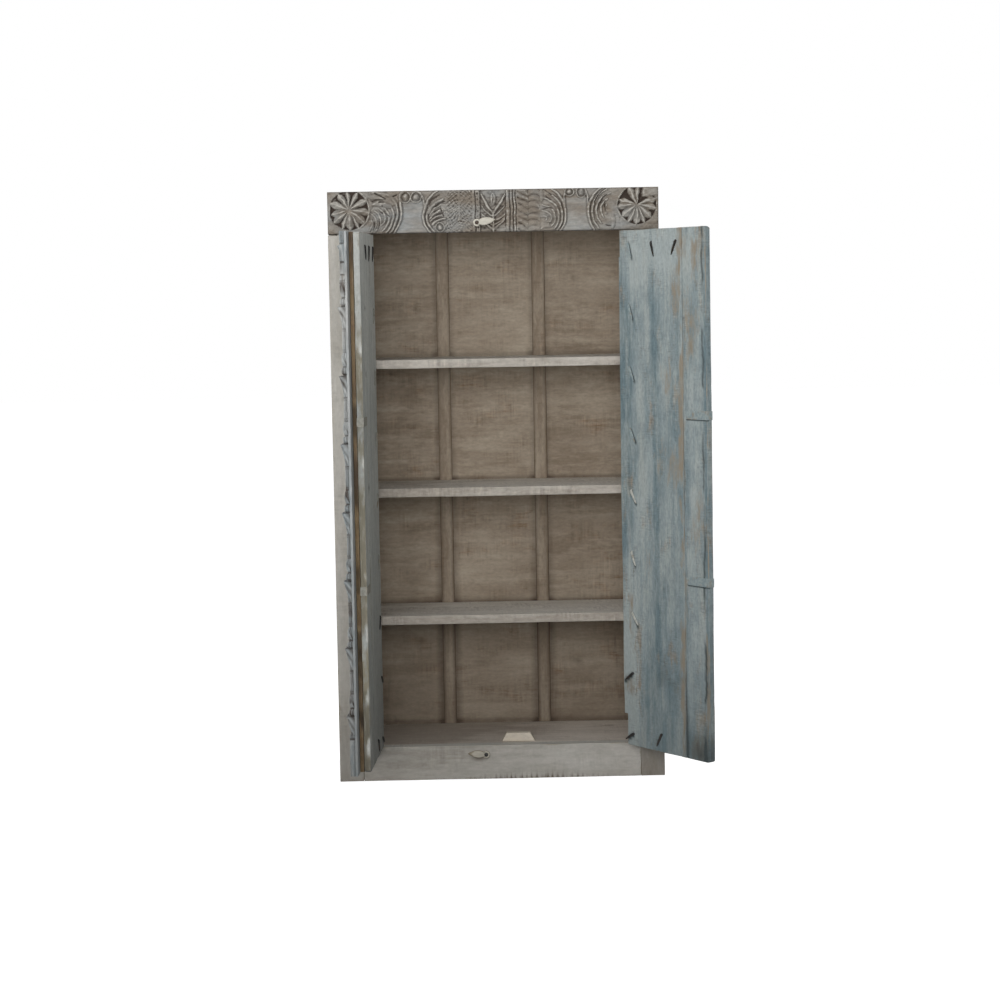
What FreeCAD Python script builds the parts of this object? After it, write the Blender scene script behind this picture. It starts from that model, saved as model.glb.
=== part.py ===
"""Carved two-door bookcase in whitewashed hardwood, in millimetres, +Z up.

The origin is on the floor at the centre of the carcass footprint. The front faces -Y, and +X is on the
right of someone who looks at the front. Both doors are stored open, as they stand in use.
"""
import FreeCAD, Part
import os
import re

# Driving dimensions
SIZES = {
    # Carcass
    "width": 1000, "depth": 420, "height": 1800,
    "lintel_height": 127, "carving_relief": 8,
    "rail_height": 105, "frame_thickness": 45, "stile_width": 74, "shoulder_gap": 3,
    "tenon_length": 45, "tenon_width": 40, "tenon_thickness": 15, "joint_clearance": 0.3,
    "side_thickness": 22, "post_size": 40, "top_thickness": 22, "floor_thickness": 25,
    "bearer_width": 45, "back_thickness": 15, "back_foot_gap": 20,
    "strip_width": 42, "strip_thickness": 6, "strip_left": -160, "strip_right": 145,
    "shelf_thickness": 28, "shelf_pitch": 395, "shelf_setback": 72, "board_clearance": 1,
    "cleat_width": 20, "cleat_height": 25,
    # Carving on the lintel
    "fillet_height": 9, "rosette_radius": 52, "rosette_inset": 66, "hub_radius": 14,
    "petal_relief": 5, "centre_panel_width": 79, "side_band_width": 20,
    # Doors
    "hinge_gap": 4, "meeting_gap": 8, "door_clearance": 3.5,
    "plank_thickness": 20, "groove_thickness": 13, "astragal_thickness": 24,
    "narrow_plank_width": 112, "hinge_stile_width": 70, "hinge_stile_setback": 4,
    "door_rail_setback": 13, "door_top_rail_height": 90, "door_bottom_rail_height": 110,
    "door_middle_rail_height": 60, "batten_width": 104, "batten_setback": 8,
    "right_batten_setback": 56, "left_open_angle": 93.5, "right_open_angle": 123,
    # Cover post on the meeting edge
    "astragal_overhang": 50, "astragal_width": 110, "astragal_bed": 17, "shaft_width": 88,
    "unit_pitch": 196, "first_tip": 172, "tip_reach": 11, "tip_width": 72,
    "bracket_height": 62, "bead_height": 22, "bead_width": 102, "capital_height": 178,
    "base_height": 120,
    # Nails and straps
    "nail_inset": 50, "nail_end_inset": 38, "nail_radius": 2.5, "nail_head_radius": 9,
    "nail_head_height": 4, "clench_radius": 2, "clench_length": 46,
    "strap_height": 26, "strap_length": 95, "strap_thickness": 1.2, "upper_strap": 1016,
    "lower_strap": 530,
    # Butt hinges
    "hinge_proud": 5.5, "barrel_radius": 5, "pin_radius": 2.5, "pin_clearance": 0.05,
    "knuckle_height": 30, "knuckle_gap": 0.4, "leaf_thickness": 1.6, "leaf_depth": 28,
    "hinge_end_inset": 150, "screw_radius": 2.2, "screw_length": 24, "screw_inset": 12,
    # Turn-button latches
    "latch_offset": -50, "latch_edge_inset": 28, "latch_thickness": 6, "eye_radius": 11.5,
    "leaf_length": 50, "leaf_width": 23, "leaf_root": 6, "pivot_radius": 3.5,
    "pivot_head_radius": 6, "pivot_head_height": 2, "pivot_length": 26,
    "washer_radius": 8, "washer_thickness": 3, "upper_latch_tilt": 9, "lower_latch_tilt": 4,
    # Door stop
    "stop_base": 103, "stop_top": 72, "stop_height": 26, "stop_depth": 30, "stop_clearance": 1,
}
SHELF_NAMES = ("lower_shelf", "middle_shelf", "upper_shelf")
MIDDLE_RAILS = 3
HINGES = 3
SCREWS_PER_LEAF = 3
ASTRAGAL_UNITS = 7
# Degrees that each clenched nail tip leans from straight down, from the lowest nail up
NAIL_SLANTS = (-62, -58, 38, 24, 34, 30, 26, 22, 18)
TOP_RAIL_SLANTS = (16, -28)
BOTTOM_RAIL_SLANT = -32

doc = FreeCAD.newDocument("bookcase")
sheet = doc.addObject("Spreadsheet::Sheet", "sizes")
for row, (alias, value) in enumerate(SIZES.items(), start=1):
    sheet.set(f"A{row}", alias)
    sheet.set(f"B{row}", str(value))
    sheet.setAlias(f"B{row}", alias)
doc.recompute()

nodes = {}


# Formulas are written with the plain names of the sizes

def bind(item, prop, formula):
    """Tie a property to a formula of sheet sizes."""
    text = re.sub(r"[a-z_]+", lambda m: f"sizes.{m[0]}" if m[0] in SIZES else m[0], str(formula))
    item.setExpression(prop, text)


def place(item, x, y, z, axis=(0, 0, 1), angle=0):
    """Put an item at a formula place, turned by a fixed angle about an axis."""
    item.Placement = FreeCAD.Placement(FreeCAD.Vector(), FreeCAD.Rotation(FreeCAD.Vector(*axis), angle))
    for letter, formula in zip("xyz", (x, y, z)):
        bind(item, f"Placement.Base.{letter}", formula)
    return item


def box(x, y, z, length, width, height):
    item = doc.addObject("Part::Box", "board")
    for prop, formula in (("Length", length), ("Width", width), ("Height", height)):
        bind(item, prop, formula)
    return place(item, x, y, z)


def cylinder(x, y, z, radius, height, axis=(0, 0, 1), angle=0):
    item = doc.addObject("Part::Cylinder", "round")
    bind(item, "Radius", radius)
    bind(item, "Height", height)
    return place(item, x, y, z, axis, angle)


def cone(x, y, z, radius, tip_radius, height, axis=(0, 0, 1), angle=0):
    item = doc.addObject("Part::Cone", "taper")
    bind(item, "Radius1", radius)
    bind(item, "Radius2", tip_radius)
    bind(item, "Height", height)
    return place(item, x, y, z, axis, angle)


def wedge(x, y, z, width, top_inset, height, foot_depth, top_depth):
    """A block whose width and depth change from foot to top; its depth runs towards the front."""
    item = doc.addObject("Part::Wedge", "wedge")
    limits = {"Xmin": 0, "Xmax": width, "Ymin": 0, "Ymax": height, "Zmin": 0, "Zmax": foot_depth,
              "X2min": top_inset, "X2max": f"({width})-({top_inset})", "Z2min": 0, "Z2max": top_depth}
    for prop, formula in limits.items():
        bind(item, prop, formula)
    return place(item, x, y, z, (1, 0, 0), 90)


def fuse(*items):
    item = doc.addObject("Part::MultiFuse", "joined")
    item.Shapes = list(items)
    item.Refine = True
    return item


def cut(base, *tools):
    item = doc.addObject("Part::Cut", "cut")
    item.Base = base
    item.Tool = tools[0] if len(tools) == 1 else fuse(*tools)
    return item


def common(first, second):
    item = doc.addObject("Part::Common", "shared")
    item.Base = first
    item.Tool = second
    return item


def group(*items):
    item = doc.addObject("Part::Compound", "group")
    item.Links = list(items)
    return item


def name(label, item):
    """Keep an item as the named piece of the bookcase."""
    item.Label = label
    nodes[label] = item
    return item


# Places that several pieces share
FRONT = "(-depth/2)"
FRAME_BACK = "(-depth/2+frame_thickness)"
BACK_FACE = "(depth/2-back_thickness)"
STRIP_FACE = "(depth/2-back_thickness-strip_thickness)"
SIDE_FACE = "(width/2-side_thickness)"
LINTEL_FOOT = "(height-lintel_height)"
TOP_FOOT = "(height-top_thickness)"
FLOOR_FOOT = "(rail_height-floor_thickness)"
INNER_WIDTH = "(width-2*side_thickness)"
OPENING_EDGE = "(width/2-stile_width)"
DOOR_FOOT = "(rail_height+door_clearance)"
DOOR_HEIGHT = "(height-lintel_height-rail_height-2*door_clearance)"
DOOR_WIDTH = "(width/2-stile_width-hinge_gap-meeting_gap/2)"
DOOR_THICKNESS = "(plank_thickness+groove_thickness+astragal_thickness)"
PLANK_FRONT = "(groove_thickness+astragal_thickness)"
HINGE_Y = "(-depth/2-hinge_proud)"
LATCH_HOLE = "(pivot_radius+pin_clearance)"


def mirrored(side, start, length):
    """Start of a stretch on the right, or of its mirror image on the left."""
    return start if side == "right" else f"-(({start})+({length}))"


# Front frame: two stiles tenoned into the lintel, and a bottom rail tenoned into the stiles

def tenon_box(side, grow):
    """The stile's top tenon, or with grow the mortise that takes it."""
    start = f"width/2-stile_width/2-tenon_width/2-{grow}"
    length = f"tenon_width+2*{grow}"
    return box(mirrored(side, start, length), f"{FRONT}+frame_thickness/2-tenon_thickness/2-{grow}",
               f"{LINTEL_FOOT}-shoulder_gap", length, f"tenon_thickness+2*{grow}",
               "tenon_length+shoulder_gap")


def rail_tenon(side, grow):
    start = f"{OPENING_EDGE}-{grow}"
    length = f"tenon_length+2*{grow}"
    return box(mirrored(side, start, length), f"{FRONT}+frame_thickness/2-tenon_thickness/2-{grow}",
               f"rail_height/2-tenon_width/2-{grow}", length, f"tenon_thickness+2*{grow}",
               f"tenon_width+2*{grow}")


for side in ("left", "right"):
    post = box(mirrored(side, OPENING_EDGE, "stile_width"), FRONT, 0,
               "stile_width", "frame_thickness", f"{LINTEL_FOOT}-shoulder_gap")
    mortised = cut(post, rail_tenon(side, "joint_clearance"))
    name(f"{side}_front_stile", fuse(mortised, tenon_box(side, "0")))

rail = box(f"-{OPENING_EDGE}", FRONT, 0, f"2*{OPENING_EDGE}", "frame_thickness", "rail_height")
name("bottom_rail", fuse(rail, rail_tenon("left", "0"), rail_tenon("right", "0")))


# Lintel: a beam with the main carved forms standing proud of its face

def lintel_form(x, z, length, height, relief):
    return box(x, f"{FRONT}-({relief})", z, length, relief, height)


def rosette(side):
    """A round boss with a hub, near one end of the lintel."""
    middle = mirrored(side, "width/2-rosette_inset", "0")
    height = f"{LINTEL_FOOT}+lintel_height/2"
    boss = cone(middle, FRONT, height, "rosette_radius", "rosette_radius-petal_relief", "petal_relief",
                (1, 0, 0), 90)
    hub = cylinder(middle, FRONT, height, "hub_radius", "carving_relief", (1, 0, 0), 90)
    return [boss, hub]


forms = [box("-width/2", FRONT, LINTEL_FOOT, "width", "frame_thickness", "lintel_height")]
for foot in (LINTEL_FOOT, "(height-fillet_height)"):
    forms.append(lintel_form("-width/2", foot, "width", "fillet_height", "carving_relief"))
forms.append(lintel_form("-centre_panel_width/2", LINTEL_FOOT, "centre_panel_width", "lintel_height",
                         "petal_relief"))
for side in ("left", "right"):
    band = mirrored(side, "centre_panel_width/2", "side_band_width")
    forms.append(lintel_form(band, LINTEL_FOOT, "side_band_width", "lintel_height", "carving_relief"))
    forms.extend(rosette(side))
name("lintel", cut(fuse(*forms), tenon_box("left", "joint_clearance"),
                   tenon_box("right", "joint_clearance")))

# Sides: two upright planks each, with a post in the back corner
PLANK_JOINT = "(depth/2-(depth-frame_thickness)/2)"
for side in ("left", "right"):
    outer = mirrored(side, SIDE_FACE, "side_thickness")
    name(f"{side}_side_front_plank",
         box(outer, FRAME_BACK, 0, "side_thickness", f"{PLANK_JOINT}-{FRAME_BACK}", TOP_FOOT))
    name(f"{side}_side_rear_plank",
         box(outer, PLANK_JOINT, 0, "side_thickness", f"depth/2-{PLANK_JOINT}", TOP_FOOT))
    name(f"{side}_rear_post",
         box(mirrored(side, f"{SIDE_FACE}-post_size", "post_size"), f"{BACK_FACE}-post_size", 0,
             "post_size", "post_size", TOP_FOOT))

# Top: two boards behind the lintel
for label, start, end in (("top_front_board", FRAME_BACK, PLANK_JOINT),
                          ("top_rear_board", PLANK_JOINT, "depth/2")):
    name(label, box("-width/2", start, TOP_FOOT, "width", f"({end})-({start})", "top_thickness"))


# Floor board and shelves: notched round the back posts

def post_notches(foot, height):
    notches = []
    for side in ("left", "right"):
        start = f"{SIDE_FACE}-post_size-board_clearance"
        length = "post_size+2*board_clearance"
        notches.append(box(mirrored(side, start, length), f"{BACK_FACE}-post_size-board_clearance", foot,
                           length, "post_size+2*board_clearance", height))
    return notches


floor = box(f"-{SIDE_FACE}", FRAME_BACK, FLOOR_FOOT, INNER_WIDTH, f"{BACK_FACE}-{FRAME_BACK}",
            "floor_thickness")
name("floor_board", cut(floor, *post_notches(FLOOR_FOOT, "floor_thickness")))
name("floor_bearer", box("-bearer_width/2", FRAME_BACK, 0, "bearer_width",
                         f"{BACK_FACE}-{FRAME_BACK}", FLOOR_FOOT))

shelf_feet = []
for count, label in enumerate(SHELF_NAMES, start=1):
    foot = f"(rail_height+{count}*shelf_pitch-shelf_thickness)"
    shelf_feet.append(foot)
    board = box(f"-{SIDE_FACE}+board_clearance/2", f"{FRONT}+shelf_setback", foot,
                f"{INNER_WIDTH}-board_clearance", f"{STRIP_FACE}-({FRONT}+shelf_setback)-board_clearance",
                "shelf_thickness")
    name(label, cut(board, *post_notches(foot, "shelf_thickness")))

for side in ("left", "right"):
    cleats = []
    for foot in [FLOOR_FOOT] + shelf_feet:
        cleats.append(box(mirrored(side, f"{SIDE_FACE}-cleat_width", "cleat_width"),
                          f"{FRONT}+shelf_setback", f"{foot}-cleat_height", "cleat_width",
                          f"{BACK_FACE}-post_size-({FRONT}+shelf_setback)", "cleat_height"))
    name(f"{side}_shelf_cleats", group(*cleats))

# Back: three boards whose joints are covered by two strips inside
for label, start, end in (("left", f"-{SIDE_FACE}", "strip_left"), ("centre", "strip_left", "strip_right"),
                          ("right", "strip_right", SIDE_FACE)):
    name(f"back_board_{label}", box(start, BACK_FACE, "back_foot_gap", f"({end})-({start})",
                                    "back_thickness", f"{TOP_FOOT}-back_foot_gap"))
for side in ("left", "right"):
    name(f"back_strip_{side}", box(f"strip_{side}-strip_width/2", STRIP_FACE, "rail_height",
                                   "strip_width", "strip_thickness", f"{TOP_FOOT}-rail_height"))

# Door stop: a block with sloped ends on the floor board, just behind the right door
STOP_FRONT = f"{FRONT}+{DOOR_THICKNESS}+stop_clearance"
name("door_stop_block", wedge(0, f"{STOP_FRONT}+stop_depth", "rail_height", "stop_base",
                              "(stop_base-stop_top)/2", "stop_height", "stop_depth", "stop_depth"))


# Doors: drawn shut round the hinge axis, then swung open

def door_box(side, start, width, front, thickness, foot, height):
    """A board of a door: start runs from its hinge edge, front back from the frame's front face."""
    first = f"hinge_gap/2+({start})"
    return box(first if side == "left" else f"-(({first})+({width}))", f"hinge_proud+({front})", foot,
               width, thickness, height)


def swing(side, item):
    """Hang an item drawn in the shut door's place on its open door."""
    turned = place(group(item), *hinge_axis(side), 0)
    bind(turned, "Placement.Rotation.Angle", "-left_open_angle" if side == "left" else "right_open_angle")
    return turned


def hinge_axis(side):
    return (f"-{OPENING_EDGE}+hinge_gap/2" if side == "left" else f"{OPENING_EDGE}-hinge_gap/2"), HINGE_Y


def clenched_nail(side, start, height, front, slant):
    """A nail with its head on the door's front and its tip bent flat on the back."""
    across = f"hinge_gap/2+({start})" if side == "left" else f"-(hinge_gap/2+({start}))"
    face = f"hinge_proud+({front})"
    back = f"hinge_proud+{DOOR_THICKNESS}+clench_radius"
    head = cone(across, face, height, "nail_head_radius", "nail_head_radius/2", "nail_head_height",
                (1, 0, 0), 90)
    shank = cylinder(across, face, height, "nail_radius", f"({back})-({face})", (1, 0, 0), -90)
    lean = 180 - slant if side == "left" else 180 + slant
    tip = cylinder(across, back, height, "clench_radius", "clench_length", (0, 1, 0), lean)
    return fuse(head, shank, tip)


def hang_door(side):
    planks = DOOR_WIDTH + "-narrow_plank_width"
    frame_front = "door_rail_setback"
    frame_depth = f"{PLANK_FRONT}-door_rail_setback"
    rail_start = "hinge_stile_width"
    rail_end = f"({DOOR_WIDTH}-batten_setback-batten_width)"
    rail_length = f"{rail_end}-hinge_stile_width"
    door_top = f"({DOOR_FOOT}+{DOOR_HEIGHT})"

    def piece(label, item):
        name(f"{side}_door_{label}", swing(side, item))

    piece("wide_plank", door_box(side, 0, planks, PLANK_FRONT, "plank_thickness", DOOR_FOOT, DOOR_HEIGHT))
    piece("narrow_plank", door_box(side, planks, "narrow_plank_width", PLANK_FRONT, "plank_thickness",
                                   DOOR_FOOT, DOOR_HEIGHT))
    piece("hinge_stile", door_box(side, 0, "hinge_stile_width", "hinge_stile_setback",
                                  f"{PLANK_FRONT}-hinge_stile_setback", DOOR_FOOT, DOOR_HEIGHT))
    piece("top_rail", door_box(side, rail_start, rail_length, frame_front, frame_depth,
                               f"{door_top}-door_top_rail_height", "door_top_rail_height"))
    piece("bottom_rail", door_box(side, rail_start, rail_length, frame_front, frame_depth, DOOR_FOOT,
                                  "door_bottom_rail_height"))
    field_foot = f"({DOOR_FOOT}+door_bottom_rail_height)"
    bay = f"({door_top}-door_top_rail_height-{field_foot}+door_middle_rail_height)/{MIDDLE_RAILS + 1}"
    rails = [door_box(side, rail_start, rail_length, frame_front, frame_depth,
                      f"{field_foot}+{count}*{bay}-door_middle_rail_height", "door_middle_rail_height")
             for count in range(1, MIDDLE_RAILS + 1)]
    piece("middle_rails", group(*rails))

    if side == "left":
        batten_front = "astragal_thickness"
        batten_width = "batten_width"
    else:
        batten_front = frame_front
        batten_width = "batten_width+batten_setback-right_batten_setback"
    piece("meeting_batten", door_box(side, rail_end, batten_width, batten_front,
                                     f"{PLANK_FRONT}-{batten_front}", DOOR_FOOT, DOOR_HEIGHT))

    nail_step = f"({DOOR_HEIGHT}-2*nail_end_inset)/{len(NAIL_SLANTS) - 1}"
    nails = [clenched_nail(side, "nail_inset", f"{DOOR_FOOT}+nail_end_inset+{count}*{nail_step}",
                           "hinge_stile_setback", slant)
             for count, slant in enumerate(NAIL_SLANTS)]
    top_nail_height = f"{door_top}-nail_end_inset"
    for count, slant in enumerate(TOP_RAIL_SLANTS, start=1):
        across = f"hinge_stile_width+{count}*({rail_length})/{len(TOP_RAIL_SLANTS)}-nail_inset/2"
        nails.append(clenched_nail(side, across, top_nail_height, frame_front, slant))
    nails.append(clenched_nail(side, f"hinge_stile_width+({rail_length})/2",
                               f"{DOOR_FOOT}+door_bottom_rail_height/2", frame_front, BOTTOM_RAIL_SLANT))
    piece("nails", group(*nails))

    straps = []
    for strap in ("lower_strap", "upper_strap"):
        foot = f"{DOOR_FOOT}+{strap}-strap_height/2"
        flat = door_box(side, f"{DOOR_WIDTH}-strap_length", "strap_length+strap_thickness", DOOR_THICKNESS,
                        "strap_thickness", foot, "strap_height")
        edge = door_box(side, DOOR_WIDTH, "strap_thickness", PLANK_FRONT, "plank_thickness", foot,
                        "strap_height")
        straps.append(fuse(flat, edge))
    piece("straps", group(*straps))


def carve_astragal():
    """The cover post: a flat bed, a raised shaft, and brackets with forward tips at an even pitch."""
    start = f"{DOOR_WIDTH}+astragal_overhang-astragal_width"

    def middle(width):
        return f"{start}+(astragal_width-{width})/2"

    def raised(width, front, foot, height):
        return door_box("left", middle(width), width, front, f"astragal_bed-({front})", foot, height)

    forms = [door_box("left", start, "astragal_width", "astragal_bed", "astragal_thickness-astragal_bed",
                      DOOR_FOOT, DOOR_HEIGHT),
             raised("shaft_width", "astragal_bed/4", DOOR_FOOT, DOOR_HEIGHT),
             raised("bead_width", "0", DOOR_FOOT, "base_height"),
             raised("bead_width", "0", f"{DOOR_FOOT}+{DOOR_HEIGHT}-capital_height", "capital_height")]
    for count in range(ASTRAGAL_UNITS):
        tip = f"{DOOR_FOOT}+first_tip+{count}*unit_pitch"
        forms.append(raised("bead_width", "0", f"{tip}", "bead_height"))
        forms.append(wedge(f"hinge_gap/2+{middle('tip_width')}", "hinge_proud+astragal_bed",
                           f"{tip}-bracket_height", "tip_width", "0", "bracket_height",
                           "astragal_bed*2/3", "astragal_bed+tip_reach"))
    return fuse(*forms)


for side in ("left", "right"):
    hang_door(side)
name("left_door_astragal", swing("left", carve_astragal()))


# Butt hinges: frame leaf with two knuckles, door leaf with one, a pin through all three

def hinge_foot(count):
    reach = f"({DOOR_HEIGHT}-2*hinge_end_inset-3*knuckle_height)"
    return f"({DOOR_FOOT}+hinge_end_inset+{count}*{reach}/{HINGES - 1})"


def leaf_box(side, start, front, depth, foot, height):
    """A flat part of a leaf, on the right of the left hinge's axis when start is positive."""
    return box(start if side == "left" else f"-(({start})+leaf_thickness)", front, foot,
               "leaf_thickness", depth, height)


def hinge_leaf(side, foot, start, knuckles):
    """A leaf with its knuckles; start is the flat's place beside the axis."""
    flat_front = "hinge_proud+hinge_stile_setback"
    flat = leaf_box(side, start, flat_front, "leaf_depth", foot, "3*knuckle_height")
    solids = [flat]
    for count in knuckles:
        low = f"{foot}+{count}*knuckle_height+knuckle_gap/2"
        tall = "knuckle_height-knuckle_gap"
        solids.append(cylinder(0, 0, low, "barrel_radius", tall))
        solids.append(leaf_box(side, start, 0, flat_front, low, tall))
    bore = "pin_radius" if len(knuckles) > 1 else "pin_radius+pin_clearance"
    bores = [cylinder(0, 0, foot, bore, "3*knuckle_height")]
    for screw in range(SCREWS_PER_LEAF):
        bores.append(screw_body(side, foot, start, screw, "leaf_thickness"))
    return cut(fuse(*solids), *bores)


def screw_body(side, foot, start, screw, length):
    """A round along X, from a leaf's far face through the leaf and on towards the wood behind it."""
    height = f"{foot}+screw_inset+{screw}*(3*knuckle_height-2*screw_inset)/{SCREWS_PER_LEAF - 1}"
    depth = "hinge_proud+hinge_stile_setback+leaf_depth*2/3"
    to_wood = start.startswith("-")
    far = f"({start})+leaf_thickness" if to_wood else start
    heading = -90 if to_wood else 90
    if side == "right":
        far = f"-({far})"
        heading = -heading
    return cylinder(far, depth, height, "screw_radius", length, (0, 1, 0), heading)


FRAME_LEAF = "-hinge_gap/2"
DOOR_LEAF = "hinge_gap/2-leaf_thickness"
for side in ("left", "right"):
    feet = [hinge_foot(count) for count in range(HINGES)]
    screws = range(SCREWS_PER_LEAF)
    axis_place = hinge_axis(side)
    fixed = {
        "hinge_frame_leaves": [hinge_leaf(side, foot, FRAME_LEAF, (0, 2)) for foot in feet],
        "hinge_pins": [cylinder(0, 0, foot, "pin_radius", "3*knuckle_height") for foot in feet],
        "hinge_frame_screws": [screw_body(side, foot, FRAME_LEAF, screw, "screw_length")
                               for foot in feet for screw in screws],
    }
    for label, items in fixed.items():
        name(f"{side}_{label}", place(group(*items), *axis_place, 0))
    name(f"{side}_hinge_door_leaves",
         swing(side, group(*[hinge_leaf(side, foot, DOOR_LEAF, (1,)) for foot in feet])))
    name(f"{side}_hinge_door_screws",
         swing(side, group(*[screw_body(side, foot, DOOR_LEAF, screw, "screw_length")
                             for foot in feet for screw in screws])))


# Turn buttons: a leaf with an eye, on a washer, held by a round-headed screw

def latch_leaf():
    """A pointed leaf where two discs overlap, with an eye at its root; it points along +X, flat on XZ."""
    bow = "((leaf_length^2+leaf_width^2)/(4*leaf_width))"
    middle = "(leaf_root+leaf_length/2)"
    upper = cylinder(middle, 0, f"{bow}-leaf_width/2", bow, "latch_thickness", (1, 0, 0), 90)
    lower = cylinder(middle, 0, f"leaf_width/2-{bow}", bow, "latch_thickness", (1, 0, 0), 90)
    eye = cylinder(0, 0, 0, "eye_radius", "latch_thickness", (1, 0, 0), 90)
    hole = cylinder(0, 0, 0, LATCH_HOLE, "latch_thickness", (1, 0, 0), 90)
    return cut(fuse(common(upper, lower), eye), hole)


for label, face, height, tilt in (
        ("upper", f"{FRONT}-carving_relief", f"{LINTEL_FOOT}+latch_edge_inset", "-upper_latch_tilt"),
        ("lower", FRONT, "rail_height-latch_edge_inset", "180+lower_latch_tilt")):
    leaf = place(group(latch_leaf()), "latch_offset", f"{face}-washer_thickness-joint_clearance", height,
                 (0, 1, 0), 90)
    bind(leaf, "Placement.Rotation.Angle", tilt)
    name(f"{label}_latch", leaf)
    ring = cylinder("latch_offset", face, height, "washer_radius", "washer_thickness", (1, 0, 0), 90)
    hole = cylinder("latch_offset", face, height, "pivot_radius", "washer_thickness", (1, 0, 0), 90)
    name(f"{label}_latch_washer", cut(ring, hole))
    head_back = f"{face}-washer_thickness-latch_thickness-2*joint_clearance"
    shank = cylinder("latch_offset", head_back, height, "pivot_radius", "pivot_length", (1, 0, 0), -90)
    head = cone("latch_offset", head_back, height, "pivot_head_radius", "pivot_radius", "pivot_head_height",
                (1, 0, 0), 90)
    name(f"{label}_latch_screw", fuse(shank, head))

doc.recompute()
faulty = [item.Label for item in doc.Objects if "Invalid" in item.State or "Error" in item.State]
faulty += [label for label, item in nodes.items() if item.Shape.isNull() or not item.Shape.isValid()]
if faulty:
    raise RuntimeError(f"pieces that did not build: {faulty}")

os.makedirs("parts", exist_ok=True)
for label, item in nodes.items():
    item.Shape.exportStep(f"parts/{label}.step")
print(len(nodes), "pieces,", sum(len(item.Shape.Solids) for item in nodes.values()), "solids")
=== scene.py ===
import math

import bmesh
import bpy
import numpy as np
from mathutils import Matrix


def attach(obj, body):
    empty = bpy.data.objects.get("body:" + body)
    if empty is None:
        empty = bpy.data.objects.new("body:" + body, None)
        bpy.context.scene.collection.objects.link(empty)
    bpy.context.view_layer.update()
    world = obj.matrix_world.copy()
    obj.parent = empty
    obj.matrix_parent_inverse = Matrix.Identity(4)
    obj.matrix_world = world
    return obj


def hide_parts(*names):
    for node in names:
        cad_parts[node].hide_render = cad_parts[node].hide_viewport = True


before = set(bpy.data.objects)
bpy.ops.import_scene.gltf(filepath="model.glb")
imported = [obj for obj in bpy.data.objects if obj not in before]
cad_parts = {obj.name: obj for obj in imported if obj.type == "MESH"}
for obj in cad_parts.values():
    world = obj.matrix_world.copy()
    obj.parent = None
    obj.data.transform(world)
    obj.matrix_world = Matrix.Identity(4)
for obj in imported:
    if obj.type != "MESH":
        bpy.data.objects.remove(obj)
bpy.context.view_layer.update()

# Front frame: two stiles and a bottom rail
# Sawn hardwood posts 45 mm thick, tenoned into the lintel above, with the rail tenoned between them.
# They are brushed with limewash and rubbed back, so brown shows along the arrises and in the pores.
HALF_WIDTH = 500
FRAME_FRONT = -210
FRAME_BACK = -165
OPENING_HALF = 426
STILE_TOP = 1670
FLOOR_TOP = 105
TENON_END = 471
TENON_FRONT = -197
TENON_BACK = -178
STILE_TENON = 48
RAIL_TENON_FOOT = 25
RAIL_TENON_TOP = 80


def linear(hex_colour):
    """An sRGB hex colour as linear red, green, blue and alpha."""
    parts = [int(hex_colour[i:i + 2], 16) / 255 for i in (1, 3, 5)]
    return [c / 12.92 if c <= 0.04045 else ((c + 0.055) / 1.055) ** 2.4 for c in parts] + [1.0]


def add(tree, kind, inputs=None, **settings):
    """Adds a node, sets its properties, and sets or links its inputs by name or number.
    A node given as an input is linked from its result, which a colour mix has in third place."""
    node = tree.nodes.new(kind)
    for key, value in settings.items():
        setattr(node, key, value)
    for key, value in (inputs or {}).items():
        if isinstance(value, bpy.types.Node):
            value = value.outputs[2 if value.bl_idname == "ShaderNodeMix" else 0]
        if isinstance(value, bpy.types.NodeSocket):
            tree.links.new(value, node.inputs[key])
        else:
            node.inputs[key].default_value = value
    return node


def blank_nodes(owner):
    """The empty node tree of a new material or world."""
    owner.use_nodes = True
    owner.node_tree.nodes.clear()
    return owner.node_tree


def hump(value, middle, width):
    """1 at the middle, and falling smoothly to nothing about two widths away."""
    return np.exp(-((value - middle) / width) ** 2)


def ramp(value, start, length):
    """0 at the start, 1 one length further on, and level beyond both. A negative length runs downwards."""
    return np.clip((value - start) / length, 0, 1)


def patch(points, x, z, wide, tall):
    """A soft-edged patch on an upright face, 1 in its middle."""
    return np.exp(-((points[:, 0] - x) / wide) ** 2 - ((points[:, 2] - z) / tall) ** 2)


def rough(points, size, seed):
    """Smooth noise from -1 to 1 at each point, with lumps about one size across, in the points' own unit."""
    spot = np.asarray(points, float) / np.asarray(size, float) + seed * 7.31
    cell = np.floor(spot)
    part = spot - cell
    part = part * part * (3 - 2 * part)
    total = np.zeros(len(spot))
    for corner in range(8):
        step = np.array([corner & 1, corner >> 1 & 1, corner >> 2 & 1])
        key = (cell + step) @ np.array([127.1, 311.7, 74.7]) + seed * 13.7
        value = np.modf(np.sin(key) * 43758.5453)[0]
        total += value * np.prod(np.where(step, part, 1 - part), axis=1)
    return total


def solid(name, points, faces, body, nodes, finish, marks, crease=40):
    """A mesh piece from points in millimetres, with its surface marks stored on the points."""
    mesh = bpy.data.meshes.new(name)
    mesh.from_pydata((np.asarray(points) / 1000).tolist(), [], faces)
    for mark, values in marks.items():
        flat = np.asarray(values, np.float32).reshape(-1)
        wide = len(flat) > len(points)
        layer = mesh.attributes.new(mark, "FLOAT_VECTOR" if wide else "FLOAT", "POINT")
        layer.data.foreach_set("vector" if wide else "value", flat)
    mesh.materials.append(finish)
    mesh.polygons.foreach_set("use_smooth", [True] * len(mesh.polygons))
    mesh.set_sharp_from_angle(angle=math.radians(crease))
    piece = bpy.data.objects.new(name, mesh)
    bpy.context.scene.collection.objects.link(piece)
    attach(piece, body)
    if nodes:
        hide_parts(*nodes)
    return piece


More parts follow.
